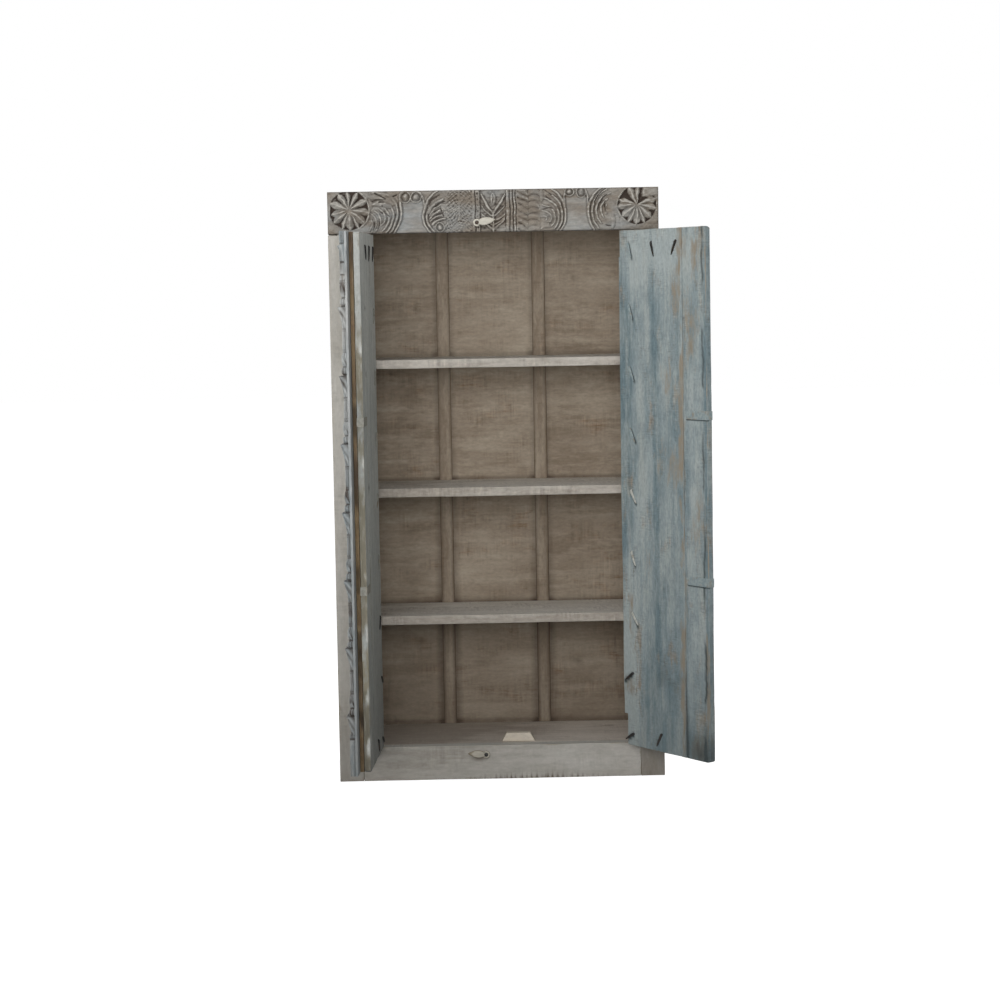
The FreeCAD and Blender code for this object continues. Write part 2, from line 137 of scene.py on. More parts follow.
def cut_lines(low, high, stops, arris, step):
    """Where a board's mesh is divided along one axis: at its stops, close to its arrises, then every step."""
    close = [arris * share for share in (0.3, 1, 2.2)]
    lines = sorted({low, high, *stops, *(low + gap for gap in close), *(high - gap for gap in close)})
    full = [lines[0]]
    for line in lines[1:]:
        if line - full[-1] < 0.2:
            continue
        count = max(1, math.ceil((line - full[-1]) / step))
        full += list(np.linspace(full[-1], line, count + 1)[1:])
    return np.array(full)


def board(name, low, high, grain, body, nodes, slot, finish, extra=(), cuts=(), place=None, mirrored=False,
          arris=2.0, dents=0.8, seed=1, tone=0.0, shape=None, dirt_and_shade=None, rub=None, lines_at=(),
          steps=(22, 10)):
    """A sawn board as it has worn: softened arrises, chipped here and there, and a surface that isn't flat.
    grain is the axis along the grain. extra boxes are its tenons or laps, and cuts are its notches. steps are
    the mesh along and across the grain, with more lines_at given places along it. tone, dirt and rub mark the
    surface, shape bends it, and place hangs it on its door. On some boards tone carries painted light and
    shade, and the dirt mark carries painted shade as well as dirt."""
    low = np.array(low, float)
    high = np.array(high, float)
    boxes = [(low, high)] + [(np.array(a, float), np.array(b, float)) for a, b in extra]
    holes = [(np.array(a, float), np.array(b, float)) for a, b in cuts]
    lines = []
    for axis in range(3):
        stops = [box[side][axis] for box in boxes for side in (0, 1)]
        stops += [box[side][axis] for box in holes for side in (0, 1)
                  if low[axis] < box[side][axis] < high[axis]]
        if axis == grain:
            stops += lines_at
        lines.append(cut_lines(low[axis], high[axis], stops, arris, steps[0 if axis == grain else 1]))
    middles = np.stack(np.meshgrid(*[(line[1:] + line[:-1]) / 2 for line in lines], indexing="ij"), -1)
    filled = np.zeros(middles.shape[:3], bool)
    for a, b in boxes:
        filled |= np.all((middles > a) & (middles < b), axis=-1)
    for a, b in holes:
        filled &= ~np.all((middles > a) & (middles < b), axis=-1)
    counts = tuple(len(line) for line in lines)
    number = np.arange(np.prod(counts)).reshape(counts)
    faces = []
    for axis in range(3):
        padded = np.pad(filled, [(1, 1) if i == axis else (0, 0) for i in range(3)])
        count = counts[axis]
        before = np.take(padded, range(count), axis=axis)
        after = np.take(padded, range(1, count + 1), axis=axis)
        u, v = (axis + 1) % 3, (axis + 2) % 3
        for wanted, turned in ((before & ~after, False), (after & ~before, True)):
            at = np.argwhere(wanted)
            ring = []
            for du, dv in ((0, 0), (1, 0), (1, 1), (0, 1)):
                corner = at.copy()
                corner[:, u] += du
                corner[:, v] += dv
                ring.append(number[tuple(corner.T)])
            ring = np.stack(ring, 1)
            faces.append(ring[:, ::-1] if turned != mirrored else ring)
    faces = np.concatenate(faces)
    used, packed = np.unique(faces, return_inverse=True)
    grid = np.stack(np.meshgrid(*lines, indexing="ij"), -1).reshape(-1, 3)[used]
    stretch = np.array([30.0, 30.0, 30.0])
    stretch[grain] = 180
    worn_arris = arris * (0.75 + 0.5 * rough(grid, 70, seed))
    worn_arris += arris * 2.4 * np.clip(rough(grid, 38, seed + 5) - 0.42, 0, 1)
    worn_arris = worn_arris[:, None]
    inside = np.clip(grid, low + worn_arris, high - worn_arris)
    out = grid - inside
    reach = np.linalg.norm(out, axis=1, keepdims=True)
    in_main = np.all((grid >= low) & (grid <= high), axis=1, keepdims=True)
    normal = out / np.maximum(reach, 1e-9)
    sunk = dents * (0.5 + 0.5 * rough(grid, stretch, seed + 9))[:, None]
    moved = inside + normal * (np.minimum(reach, worn_arris) - sunk)
    points = np.where(in_main & (reach > 0), moved, grid)
    if shape:
        points = shape(points)
    gaps = np.sort(np.minimum(np.abs(grid - low), np.abs(high - grid)), axis=1)
    wear_and_highlight = np.exp(-gaps[:, 1] / 5) * (0.75 + 0.5 * rough(grid, 45, seed + 3))
    if rub:
        wear_and_highlight = np.maximum(wear_and_highlight, rub(grid))
    order = [grain, (grain + 1) % 3, (grain + 2) % 3]
    offset = np.array([seed * 0.731, seed * 0.317, seed * 0.193])
    marks = {"grain": grid[:, order] / 1000 + offset, "wear_and_highlight": np.clip(wear_and_highlight, 0, 1),
             "grime_and_shade": np.zeros(len(grid)) if dirt_and_shade is None else np.clip(dirt_and_shade(grid), 0, 1),
             "tone": tone(grid) if callable(tone) else np.full(len(grid), tone)}
    if place:
        points = place(points)
    return solid(name, points, packed.reshape(-1, 4).tolist(), body, nodes, finish, marks)


def painted_wood(name, coat, bare, chalk, soot_and_shade, arris_colour, share, sawn, kerf_mm=(6, 120), broken=0.1,
                 cracks=0.0, shading=(1.0, 0.34, 0.45)):
    """Wood under a thin coat. coat and bare are a pale and a deep colour each, and share is how much is bare.
    chalk is the colour of dry rubs, sawn how plain the saw's marks are, broken how blotchy the coat is, and
    cracks how dark the splits are. shading weighs the coat's clouds, streaks and patches. The dark soot
    colour goes into the splits and into the grime mark, which carries painted shade as well as dirt. The
    arris colour goes into the worn mark, which carries painted highlights as well as wear."""
    material = bpy.data.materials.new(name)
    tree = blank_nodes(material)
    grain = add(tree, "ShaderNodeAttribute", attribute_name="grain").outputs["Vector"]
    wear_and_highlight, grime_and_shade, tone = [add(tree, "ShaderNodeAttribute", attribute_name=mark).outputs["Fac"]
                         for mark in ("wear_and_highlight", "grime_and_shade", "tone")]
    # The patterns in the wood and its coat, each with its size along and across the grain in millimetres
    pattern = {}
    for label, along, across, detail in (
            ("fibre", 70, 2.2, 3), ("streak", 420, 19, 3), ("cloud", 240, 110, 4), ("kerf", *kerf_mm, 3),
            ("flake", 38, 11, 6), ("rub", 310, 34, 5), ("patch", 130, 60, 6), ("mottle", 14, 7, 3),
            ("crack", 900, 55, 2)):
        size = (1000 / along, 1000 / across, 1000 / across)
        spot = add(tree, "ShaderNodeMapping", {"Vector": grain, "Scale": size})
        pattern[label] = add(tree, "ShaderNodeTexNoise", {"Vector": spot, "Scale": 1.0, "Detail": detail,
                                                          "Roughness": 0.62})
    from_middle = add(tree, "ShaderNodeMath", {0: pattern["crack"], 1: 0.5}, operation="SUBTRACT")
    split = add(tree, "ShaderNodeMath", {0: from_middle}, operation="ABSOLUTE")
    # Each sum starts from one value and adds patterns by weight, and a range then makes it a share
    coat_parts = tuple(zip(("cloud", "streak", "patch"), shading))
    middle = sum(shading) / 2
    shares = {}
    for label, total, parts, start, end, least, most in (
            ("deep", tone, coat_parts, middle - 0.235, middle + 0.235, 0, 1),
            ("fibre", pattern["fibre"], (), 0.35, 0.68, 0, 1),
            ("lost", pattern["patch"], (("flake", 0.3), ("fibre", 0.25)), 0.98 - share, 1.18 - share, 0, 1),
            ("dry", pattern["rub"], (("flake", 0.35),), 0.64, 0.9, 0, 0.6),
            ("bite", pattern["patch"], (), 0.46, 0.66, 0, 1.1 * sawn),
            ("fleck", pattern["mottle"], (("flake", 0.8),), 0.6, 1.2, 1 - broken, 1 + broken),
            ("rubbed_and_lit", wear_and_highlight, (("flake", 1.6),), 1.22, 1.75, 0, 1),
            ("split", split, (), 0, 0.012, cracks, 0),
            ("dirty_and_shaded", grime_and_shade, (("flake", 0.5),), 0.38, 1.1, 0, 1)):
        for part, weight in parts:
            total = add(tree, "ShaderNodeMath", {0: pattern[part], 1: weight, 2: total},
                        operation="MULTIPLY_ADD")
        limits = {"Value": total, "From Min": start, "From Max": end, "To Min": least, "To Max": most}
        shares[label] = add(tree, "ShaderNodeMapRange", limits,
                            interpolation_type="SMOOTHSTEP" if label == "lost" else "LINEAR")
    # The coat over the wood, lost in places and chalky in others, then flecked by saw marks and blotches
    coated, wood = [add(tree, "ShaderNodeMix", {0: shares[label], 6: linear(light), 7: linear(dark)},
                        data_type="RGBA")
                    for label, (light, dark) in (("deep", coat), ("fibre", bare))]
    colour = coated
    for label, over in (("lost", wood), ("dry", linear(chalk))):
        colour = add(tree, "ShaderNodeMix", {0: shares[label], 6: colour, 7: over}, data_type="RGBA")
    ripple = add(tree, "ShaderNodeMath", {0: pattern["kerf"], 1: 0.5}, operation="SUBTRACT")
    fleck = add(tree, "ShaderNodeMath", {0: ripple, 1: shares["bite"], 2: shares["fleck"]},
                operation="MULTIPLY_ADD")
    colour = add(tree, "ShaderNodeVectorMath", {0: colour, "Scale": fleck}, operation="SCALE")
    # Last, the worn mark with its painted highlights takes the arris colour, and the splits and the grime
    # mark with its painted shade take the soot colour
    for label, over in (("rubbed_and_lit", arris_colour), ("split", soot_and_shade), ("dirty_and_shaded", soot_and_shade)):
        colour = add(tree, "ShaderNodeMix", {0: shares[label], 6: colour, 7: linear(over)}, data_type="RGBA")
    sheen = add(tree, "ShaderNodeMapRange", {"Value": shares["lost"], "To Min": 0.86, "To Max": 0.7})
    height = pattern["fibre"]
    for part, weight in ((pattern["kerf"], sawn), (shares["lost"], -0.5), (shares["split"], -1.2)):
        height = add(tree, "ShaderNodeMath", {0: part, 1: weight, 2: height}, operation="MULTIPLY_ADD")
    bump = add(tree, "ShaderNodeBump", {"Height": height, "Strength": 0.55, "Distance": 0.0012})
    shader = add(tree, "ShaderNodeBsdfPrincipled", {"Base Color": colour, "IOR": 1.46, "Roughness": sheen,
                                                    "Normal": bump})
    add(tree, "ShaderNodeOutputMaterial", {"Surface": shader})
    return material


# Limewashed hardwood, brushed on thin: chalky and matt, pale grey with a little brown in the open grain
limewashed_hardwood = painted_wood("limewashed_hardwood", ("#b9b6af", "#a09b92"), ("#988d7e", "#6f6354"),
                                   "#c2beb8", "#5a4f43", "#98907f", 0.08, 0.7, (7, 60))


def foot_dust_and_shade(points):
    """Splashes and dust with painted shade on the lowest hand's breadth of the front, and a little more on
    the right, painted as the right door's shadow.
    """
    return (0.4 + 0.08 * (points[:, 0] > 0)) * np.exp(-points[:, 2] / 280)


def rail_ticks_and_shadow(points):
    """Saw ticks along the rail's foot, and a painted shadow under the lower button."""
    ticks = np.clip(0.2 + 1.6 * rough(points * [1, 0, 0], 3.6, 14), 0, 1)
    ticks *= np.exp(-points[:, 2] / 14) * hump(points[:, 0], 110, 170)
    return 0.25 * np.exp(-points[:, 2] / 9) + 1.1 * ticks + 0.6 * patch(points, -72, 66, 26, 11)


for side, sign in (("left", -1), ("right", 1)):
    edges = sorted((sign * OPENING_HALF, sign * HALF_WIDTH))
    tenon = sorted((sign * OPENING_HALF, sign * TENON_END))
    board(f"{side}_stile_washed", (edges[0], FRAME_FRONT, 0), (edges[1], FRAME_BACK, STILE_TOP), 2, "carcass",
          [f"{side}_front_stile"], "whitewashed_wood", limewashed_hardwood,
          extra=[((tenon[0], TENON_FRONT, STILE_TOP), (tenon[1], TENON_BACK, STILE_TOP + STILE_TENON))],
          seed=2 + sign, tone=0.05 + 0.1 * sign, dirt_and_shade=foot_dust_and_shade)
board("bottom_rail_washed", (-OPENING_HALF, FRAME_FRONT, 0), (OPENING_HALF, FRAME_BACK, FLOOR_TOP), 0,
      "carcass", ["bottom_rail"], "whitewashed_wood", limewashed_hardwood, seed=7, dents=1.0, steps=(2.5, 6),
      # Tone: darker to the left as a painted shadow, and paler on the top face
      tone=lambda p: 0.06 - 0.0002 * p[:, 0] - 0.5 * (p[:, 2] > FLOOR_TOP - 2),
      extra=[((-TENON_END, TENON_FRONT, RAIL_TENON_FOOT), (-OPENING_HALF, TENON_BACK, RAIL_TENON_TOP)),
             ((OPENING_HALF, TENON_FRONT, RAIL_TENON_FOOT), (TENON_END, TENON_BACK, RAIL_TENON_TOP))],
      dirt_and_shade=rail_ticks_and_shadow)

# Lintel: a full-width carved beam
# One old carved hardwood beam, cut down from a wider frieze: lotus rosettes at the ends, leaf fans, pairs of
# volutes over plain bell fields, and a palmette in the middle. The stiles' tenons go up into its underside.
LINTEL_GRID = 1.25
LINTEL_ROWS = 103
LINTEL_FOOT = 1673
LINTEL_TALL = 127
LINTEL_GROUND = -200.0
MOST_RELIEF = 17.9
SUNK_BELOW = 3
across = np.arange(0, 2 * HALF_WIDTH + LINTEL_GRID / 2, LINTEL_GRID)
upward = np.linspace(0, LINTEL_TALL, LINTEL_ROWS)
X, Z = np.meshgrid(across, upward)
flat = np.stack([X.ravel(), Z.ravel(), np.zeros(X.size)], 1)


def uneven_face(size, seed):
    """Unevenness from -1 to 1 over the lintel's face."""
    return rough(flat, size, seed).reshape(X.shape)


# The carver's hand: no line is quite straight or evenly spaced
hand_x = X + (1.9 * uneven_face(31, 31) + 0.9 * uneven_face(13, 33))
hand_z = Z + (1.9 * uneven_face(31, 32) + 0.9 * uneven_face(13, 34))
relief = 6 + 1.2 * uneven_face(21, 35)
pale = np.zeros_like(X)
on_knob = np.zeros(X.shape, bool)


def ridge(distance, half_width, height):
    """A half-round raised line."""
    return height * np.sqrt(np.clip(1 - (distance / half_width) ** 2, 0, 1))


def stroke(half_width, height, *path):
    """Carves one tapering leaf blade along a curve, or a sunk cut where its height is below the ground."""
    path = np.array(path, float)
    for _ in range(2):
        corners = np.stack([0.75 * path[:-1] + 0.25 * path[1:], 0.25 * path[:-1] + 0.75 * path[1:]], 1)
        path = np.concatenate([path[:1], corners.reshape(-1, 2), path[-1:]])
    reach = 14
    first = max(int((path[:, 0].min() - reach) / LINTEL_GRID), 0)
    last = int((path[:, 0].max() + reach) / LINTEL_GRID)
    span = slice(first, last)
    x, z = hand_x[:, span], hand_z[:, span]
    near = np.full(x.shape, 1e6)
    along = np.zeros(x.shape)
    for count in range(len(path) - 1):
        start = path[count]
        step = path[count + 1] - start
        part = np.clip(((x - start[0]) * step[0] + (z - start[1]) * step[1]) / (step @ step), 0, 1)
        gap = np.hypot(x - start[0] - part * step[0], z - start[1] - part * step[1])
        along = np.where(gap < near, (count + part) / (len(path) - 1), along)
        near = np.minimum(near, gap)
    half_width = half_width * (1.22 if height >= SUNK_BELOW else 1)
    across = np.clip(near / (half_width * (0.35 + 0.65 * np.sin(np.pi * (0.1 + 0.8 * along)))), 0, 1)
    if height < SUNK_BELOW:
        relief[:, span] = np.minimum(relief[:, span], height + 12 * across ** 2 + 20 * (across == 1))
    else:
        blade = SUNK_BELOW + (height - SUNK_BELOW) * np.sqrt(1 - across ** 2)
        relief[:, span] = np.where(across < 1, np.maximum(relief[:, span], blade), relief[:, span])


def rosette(centre, radius, rim_side, petals):
    """Pointed petals, broad and narrow, that meet in the middle over a deep ground, with half a rim round
    them."""
    dx = hand_x - centre[0]
    dz = hand_z - centre[1]
    away = np.hypot(dx, dz)
    carved = np.where(away < radius, 0.2, relief)
    for heading, length, half_width in petals:
        heading = math.radians(heading)
        length = length * 1.04
        along = np.clip((dx * math.cos(heading) + dz * math.sin(heading)) / length, 0, 1)
        aside = dz * math.cos(heading) - dx * math.sin(heading) + 5 * along ** 2 * math.cos(heading)
        swell = 0.15 + 0.85 * (np.clip(along, 0, 0.7) / 0.7) ** 0.95
        point = np.clip(1 - (np.clip(along - 0.7, 0, 1) / 0.3) ** 2.2, 0, 1)
        half = 1.28 * half_width * swell * point + 0.01
        across = np.clip(np.abs(aside) / half, 0, 1)
        petal = (5 + 0.5 * half_width + 6.5 * np.sin(np.pi * along ** 0.75)) * (1 - 0.64 * across ** 1.8)
        petal += 1.5 * hump(aside, 0, 1.5) * np.clip(along * 3, 0, 1)
        inside = (along > 0) & (along < 1) & (np.abs(aside) < half)
        carved = np.where(inside, np.maximum(carved, petal), carved)
    rim = ridge(away - radius - 2, 3.6, 11.5) * np.clip(0.1 + 1.2 * dx * rim_side / radius, 0, 1)
    return np.where(away < radius + 6, np.maximum(carved, rim), carved)


# Two bell fields, nearly plain, with a little chalk left in them
bells = (([199, 213, 224, 227, 223, 214], [313, 299, 289, 288, 292, 300], 254),
         ([704, 716, 725, 720, 712, 704], [805, 793, 784, 785, 796, 806], 755))
for left_curve, right_curve, middle in bells:
    turns = [0, 20, 45, 75, 98, LINTEL_TALL]
    right_of_left = hand_x > np.interp(hand_z, turns, left_curve)
    on_bell = right_of_left & (hand_x < np.interp(hand_z, turns, right_curve))
    bell = 4.2 + 0.6 * np.sin(hand_z / 3.6) * (np.abs(hand_x - middle) < 16)
    relief = np.where(on_bell, bell, np.where(np.abs(X - middle) < 130, 4.4 + 0.4 * (relief - 6), relief))
    pale = np.where(on_bell & (Z < 98), 1.0, pale)
# Left leaf fan and its spray
for blade in (
        (3.7, 14, (196, -2), (212, 20), (222, 45), (225, 72), (220, 94), (217, 110), (226, 123), (241, 126)),
        (3.5, 12.5, (186, 2), (200, 20), (211, 45), (213, 70), (207, 92)),
        (3.4, 12, (175, 3), (189, 20), (199, 42), (200, 64), (191, 83)),
        (3.4, 11.5, (164, 6), (178, 22), (187, 42), (186, 60), (172, 76)),
        (3.2, 11, (162, 26), (173, 35), (176, 48), (170, 62), (155, 75)),
        (3.2, 10.5, (146, 6), (158, 24), (162, 42), (156, 58), (142, 69)),
        (3.2, 10, (134, 4), (145, 20), (149, 36), (144, 50), (132, 60)),
        (3, 9.5, (127, 8), (134, 20), (137, 32), (132, 44)), (7, 12, (126, 111), (148, 112), (173, 105)),
        (5.5, 11, (136, 124), (162, 123), (190, 111)), (6.5, 12, (138, 87), (162, 91), (190, 80)),
        (5, 11, (186, 113), (201, 98), (211, 82)), (5, 10, (131, 78), (133, 92), (127, 102)),
        (2.6, 0.5, (152, 12), (157, 30), (156, 46)), (2.4, 0.5, (139, 8), (143, 24), (142, 38)),
        (3.2, 0.3, (142, 122), (160, 114), (177, 103)), (4, 0.3, (136, 97), (152, 101), (169, 99)),
        (3.2, 0.5, (156, 93), (165, 95), (173, 94)), (3, 0.5, (158, 66), (163, 64), (167, 61)),
        (2, 1, (165, 84), (166, 80)), (2, 1.5, (168, 68), (180, 58), (188, 50)),
        (4.5, 0.2, (197, 110), (204, 113), (212, 116))):
    stroke(*blade)
# Left feathered shell
relief = np.where((X > 343) & (X < 372) & (Z > 66) & (Z < 86), 8.5, relief)
for blade in (
        (3.7, 14, (312, -2), (297, 16), (289, 45), (291, 68), (300, 88), (309, 106), (323, 121), (340, 129)),
        (2.8, 12, (292, 66), (293, 90), (289, 108), (281, 122), (266, 127)),
        (3.2, 12.5, (322, 2), (307, 18), (300, 40), (301, 60), (308, 76)),
        (4.4, 13, (306, 58), (314, 78), (328, 92), (349, 102)),
        (3.4, 12, (309, 50), (318, 67), (332, 80), (346, 85)),
        (4.0, 13, (311, 42), (319, 54), (332, 64), (347, 69)),
        (3.2, 11.5, (312, 33), (321, 43), (334, 50), (351, 53)),
        (4.0, 12.5, (315, 23), (325, 32), (338, 38), (354, 41)), (3, 10, (350, 10), (358, 24), (372, 30)),
        (6.5, 0.2, (307, 84), (316, 101), (338, 113)), (4.5, 0.4, (325, 78), (340, 90), (354, 95)),
        (3, 0.6, (322, 61), (332, 69), (342, 74)), (4.2, 0.4, (328, 52), (342, 58), (352, 62)),
        (3, 0.6, (326, 37), (338, 43), (350, 45)), (3.5, 0.8, (341, 76), (347, 60), (350, 46))):
    stroke(*blade)
# Right feathered shell
for blade in (
        (3.6, 13.5, (703, 0), (715, 18), (721, 42), (718, 66), (711, 88), (703, 104), (690, 118), (674, 128)),
        (2.8, 12, (720, 64), (715, 90), (715, 108), (722, 124), (736, 129)),
        (3.3, 12, (693, 3), (706, 20), (711, 42), (708, 62), (700, 84), (688, 100), (668, 113)),
        (3.3, 11.5, (683, 5), (696, 22), (700, 42), (697, 60), (688, 76), (674, 90), (653, 102)),
        (3.3, 11, (675, 13), (686, 26), (689, 42), (684, 58), (672, 70), (650, 79)),
        (3.2, 10.5, (667, 21), (676, 34), (676, 46), (666, 56), (648, 61)),
        (3, 10, (659, 31), (664, 41), (655, 46), (643, 44)), (5, 9.5, (645, 8), (659, 17), (673, 12)),
        (6, 10, (646, 92), (648, 108), (644, 124)), (3.2, 0.6, (653, 123), (666, 117), (679, 108)),
        (3.2, 0.6, (660, 107), (668, 98), (678, 91)), (3, 0.8, (652, 66), (668, 68), (682, 66)),
        (2, 1, (652, 27), (664, 25), (678, 24))):
    stroke(*blade)
# Right leaf fan, plain where it meets the rosette
plain = ramp(X, 846, 16) * ramp(Z, 36, 24)
relief = relief + plain * (3.6 - 0.5 * (relief - 4.4))
for blade in (
        (3.7, 14, (807, -2), (794, 21), (787, 45), (789, 77), (799, 100), (811, 116), (830, 129)),
        (2.8, 12, (788, 70), (786, 92), (785, 108), (779, 122), (764, 128)),
        (3.5, 12.5, (819, 5), (806, 24), (798, 46), (800, 74), (809, 94), (823, 110), (846, 124)),
        (3.5, 12, (827, 20), (815, 38), (810, 56), (812, 76), (822, 92), (838, 103), (856, 110)),
        (3.3, 11.5, (835, 38), (826, 54), (824, 68), (830, 82), (846, 93)),
        (3, 10.5, (843, 50), (837, 64), (842, 78)), (6, 9.5, (859, 6), (863, 24), (863, 44)),
        (2.2, 0.8, (842, 127), (827, 116), (814, 100), (805, 82)),
        (2.8, 0.3, (845, 106), (831, 95), (820, 79), (816, 62)), (4, 1.5, (838, 86), (836, 72), (839, 56)),
        (4.5, 0.2, (840, 16), (847, 12), (855, 13))):
    stroke(*blade)
# Volutes: a coil round a knob
for cx, cz, size in ((236, 107, 12), (269, 107, 12.5), (338, 16, 10), (731, 116, 10.5), (766, 114, 11.5)):
    out = np.hypot(hand_x - cx, hand_z - cz)
    coil = np.where(np.abs(out - size * 1.28) < 2.4, ridge(out - size * 1.28, 2.4, 11.5), 2.4)
    knob = ridge(out, size * 0.84, 14.5)
    relief = np.where(out < size * 1.45, np.maximum(coil, knob), relief)
    on_knob |= out < size * 1.45
# Leaf rows, a stacked column, a rope, and plain and beaded bars beside the middle panel
lean = np.abs(hand_x - 398)
uneven = 0.3 * uneven_face(19, 52)
row = (hand_z + 0.7 * lean) / 9.4 + 2.2 * uneven
cut_depth = np.clip(0.75 + 0.6 * uneven_face(26, 53), 0.25, 1)
leaf_rows = 9.5 - 6.5 * cut_depth * (1 - np.abs(np.sin(np.pi * row)) ** 0.8)
leaf_rows += 1.6 * np.sin(2 * np.pi * (hand_z - 1.1 * lean) / 17 + 8 * uneven)
relief = np.where((hand_x > 358) & (hand_x < 437), leaf_rows, relief)
relief = np.where((lean < 2.6) & (hand_z > 40), 9.5, relief)
stacked = np.clip(np.abs(hand_x - 623) / 18, 0, 1)
cup = np.mod(hand_z + 6 * uneven + 6 * stacked ** 2, 18.5) / 18.5
deep_cut = np.clip(cut_depth + 0.2, 0.45, 1)
column = 10 - 8.5 * deep_cut * (1 - np.sin(np.pi * cup ** 0.7) ** 0.8 * (1 - 0.35 * stacked))
relief = np.where((hand_x > 605) & (hand_x < 641), column, relief)
strand = (hand_z + 0.55 * (hand_x - 589) + 7 * uneven) / 19
twist = 11 - 9 * deep_cut * (1 - np.abs(np.sin(np.pi * strand)) ** 0.7)
relief = np.where((hand_x > 575) & (hand_x < 605), twist, relief)
for left_edge, right_edge, height in (
        (437, 445, 10), (445, 448, 4), (448, 459, 11), (539, 549, 11), (549, 552, 4), (552, 559, 10),
        (559, 562, 3), (562, 568, 11), (568, 570, 3), (570, 575, 9)):
    relief = np.where((hand_x > left_edge) & (hand_x < right_edge), height, relief)
pit = np.hypot(hand_x - 453.5, np.mod(hand_z - 4, 17) - 8.5)
relief = np.where(pit < 2.8, 6.5, relief)
# Palmette in the middle panel
panel = (X > 460) & (X < 539)
relief = np.where(panel, 2.2 + 1.2 * uneven_face(8, 41), relief)
lobe = np.hypot((hand_x - 500) / 10, (hand_z - 98) / 21)
relief = np.where(panel & (lobe < 1), 11 * np.sqrt(np.clip(1 - lobe ** 2, 0, 1)) + 2, relief)
relief = np.where(panel & (lobe < 0.7) & (np.abs(hand_x - 500) < 1.5), 7, relief)
for way in (-1, 1):
    out = (hand_x - 500) * way
    rise = 56 + 1.2 * out + 0.008 * out ** 2
    swell = 4.5 + 4.5 * np.sin(np.pi * np.clip(out / 39, 0, 1)) ** 0.8
    leaf = ridge(hand_z - rise, swell, 13)
    relief = np.where(panel & (out > 0) & (out < 38), np.maximum(relief, leaf), relief)
    for low, slope, half_width, height in ((46, 0.5, 3.6, 10), (34, 0.15, 4.4, 9.5), (21, 0.3, 3.8, 9),
                                           (9, 0.45, 5.0, 10)):
        under = ridge(hand_z - low - slope * out - 0.012 * out ** 2, half_width, height)
        relief = np.where(panel & (out > 2) & (out < 35), np.maximum(relief, under), relief)
relief = np.where(panel & (np.abs(hand_x - 500) < 2.8) & (hand_z < 66), np.maximum(relief, 11), relief)
LEFT_ROSETTE = (66, 71)
RIGHT_ROSETTE = (935, 74)
relief = rosette(LEFT_ROSETTE, 59, 1, (
    (-88, 58, 9.5), (-61, 61, 5), (-37, 60, 9.5), (-4, 61, 9), (34, 60, 9), (66, 56, 6), (94, 56, 5.5),
    (121, 58, 8), (155, 60, 9.5), (188, 54, 8.5), (216, 58, 9.5), (247, 60, 5.5)))
relief = rosette(RIGHT_ROSETTE, 58, -1, (
    (-92, 57, 9), (-65, 59, 5.5), (-38, 57, 9), (-6, 60, 8.5), (20, 60, 8), (87, 54, 6.5), (113, 57, 8),
    (159, 55, 8), (181, 58, 9), (214, 57, 9), (241, 60, 6)))
corner = ramp(hand_x, 950, 6) * np.clip((hand_z - 93 - 0.1 * (hand_x - 950)) / 6, 0, 1)
relief = relief * (1 - corner) + (9.5 + 0.8 * np.sin(hand_z / 4)) * corner
in_left = np.hypot(X - LEFT_ROSETTE[0], Z - LEFT_ROSETTE[1]) < 60
in_right = np.hypot(X - RIGHT_ROSETTE[0], Z - RIGHT_ROSETTE[1]) < 58
in_rosette = in_left | in_right
sunk_hole = np.hypot((X - 204) / 7, (Z - 114) / 5) < 1


def soften(field, times):
    """Averages each point with its neighbours."""
    for _ in range(times):
        wide = np.pad(field, 1, mode="edge")
        field = (2 * field + wide[:-2, 1:-1] + wide[2:, 1:-1] + wide[1:-1, :-2] + wide[1:-1, 2:]) / 6
    return field


relief = soften(relief, 1)
busy = np.where(pale > 0.5, 0.4, 1.0)
relief += busy * (1.3 * uneven_face(11, 3) + 1.1 * uneven_face(6.5, 4))
relief += 0.6 * uneven_face((24, 2.8, 5), 8)
relief -= 5 * np.clip(uneven_face(24, 12) - 0.55, 0, 1) * (relief > 6)
to_edge = np.minimum(np.minimum(X, 2 * HALF_WIDTH - X), np.minimum(Z, LINTEL_TALL - Z))
edge_wear = 2.2 + 1.4 * uneven_face(40, 21)
relief -= 5 * np.exp(-to_edge / np.maximum(edge_wear, 0.8))
relief = np.clip(relief, 0, MOST_RELIEF)
# Dirt and painted shade darken the hollows, most of all the rosettes' deep ground and the sunk hole, and the
# raised parts are rubbed and painted paler as highlights
hollow = np.clip((soften(relief, 60) - relief) / 9, 0, 1) + np.clip((soften(relief, 9) - relief) / 2.8, 0, 1)
hollow = np.clip(0.8 * hollow + np.clip(3.0 - relief, 0, 4) / 6, 0, 1) * np.where(sunk_hole, 1, 0.7)
under_petals = np.clip(0.5 * hollow + np.clip(3.6 - relief, 0, 3.6) / 3.8, 0, 0.9)
hollow = np.where(in_rosette, under_petals, hollow * np.where(on_knob, 0.75, 1))
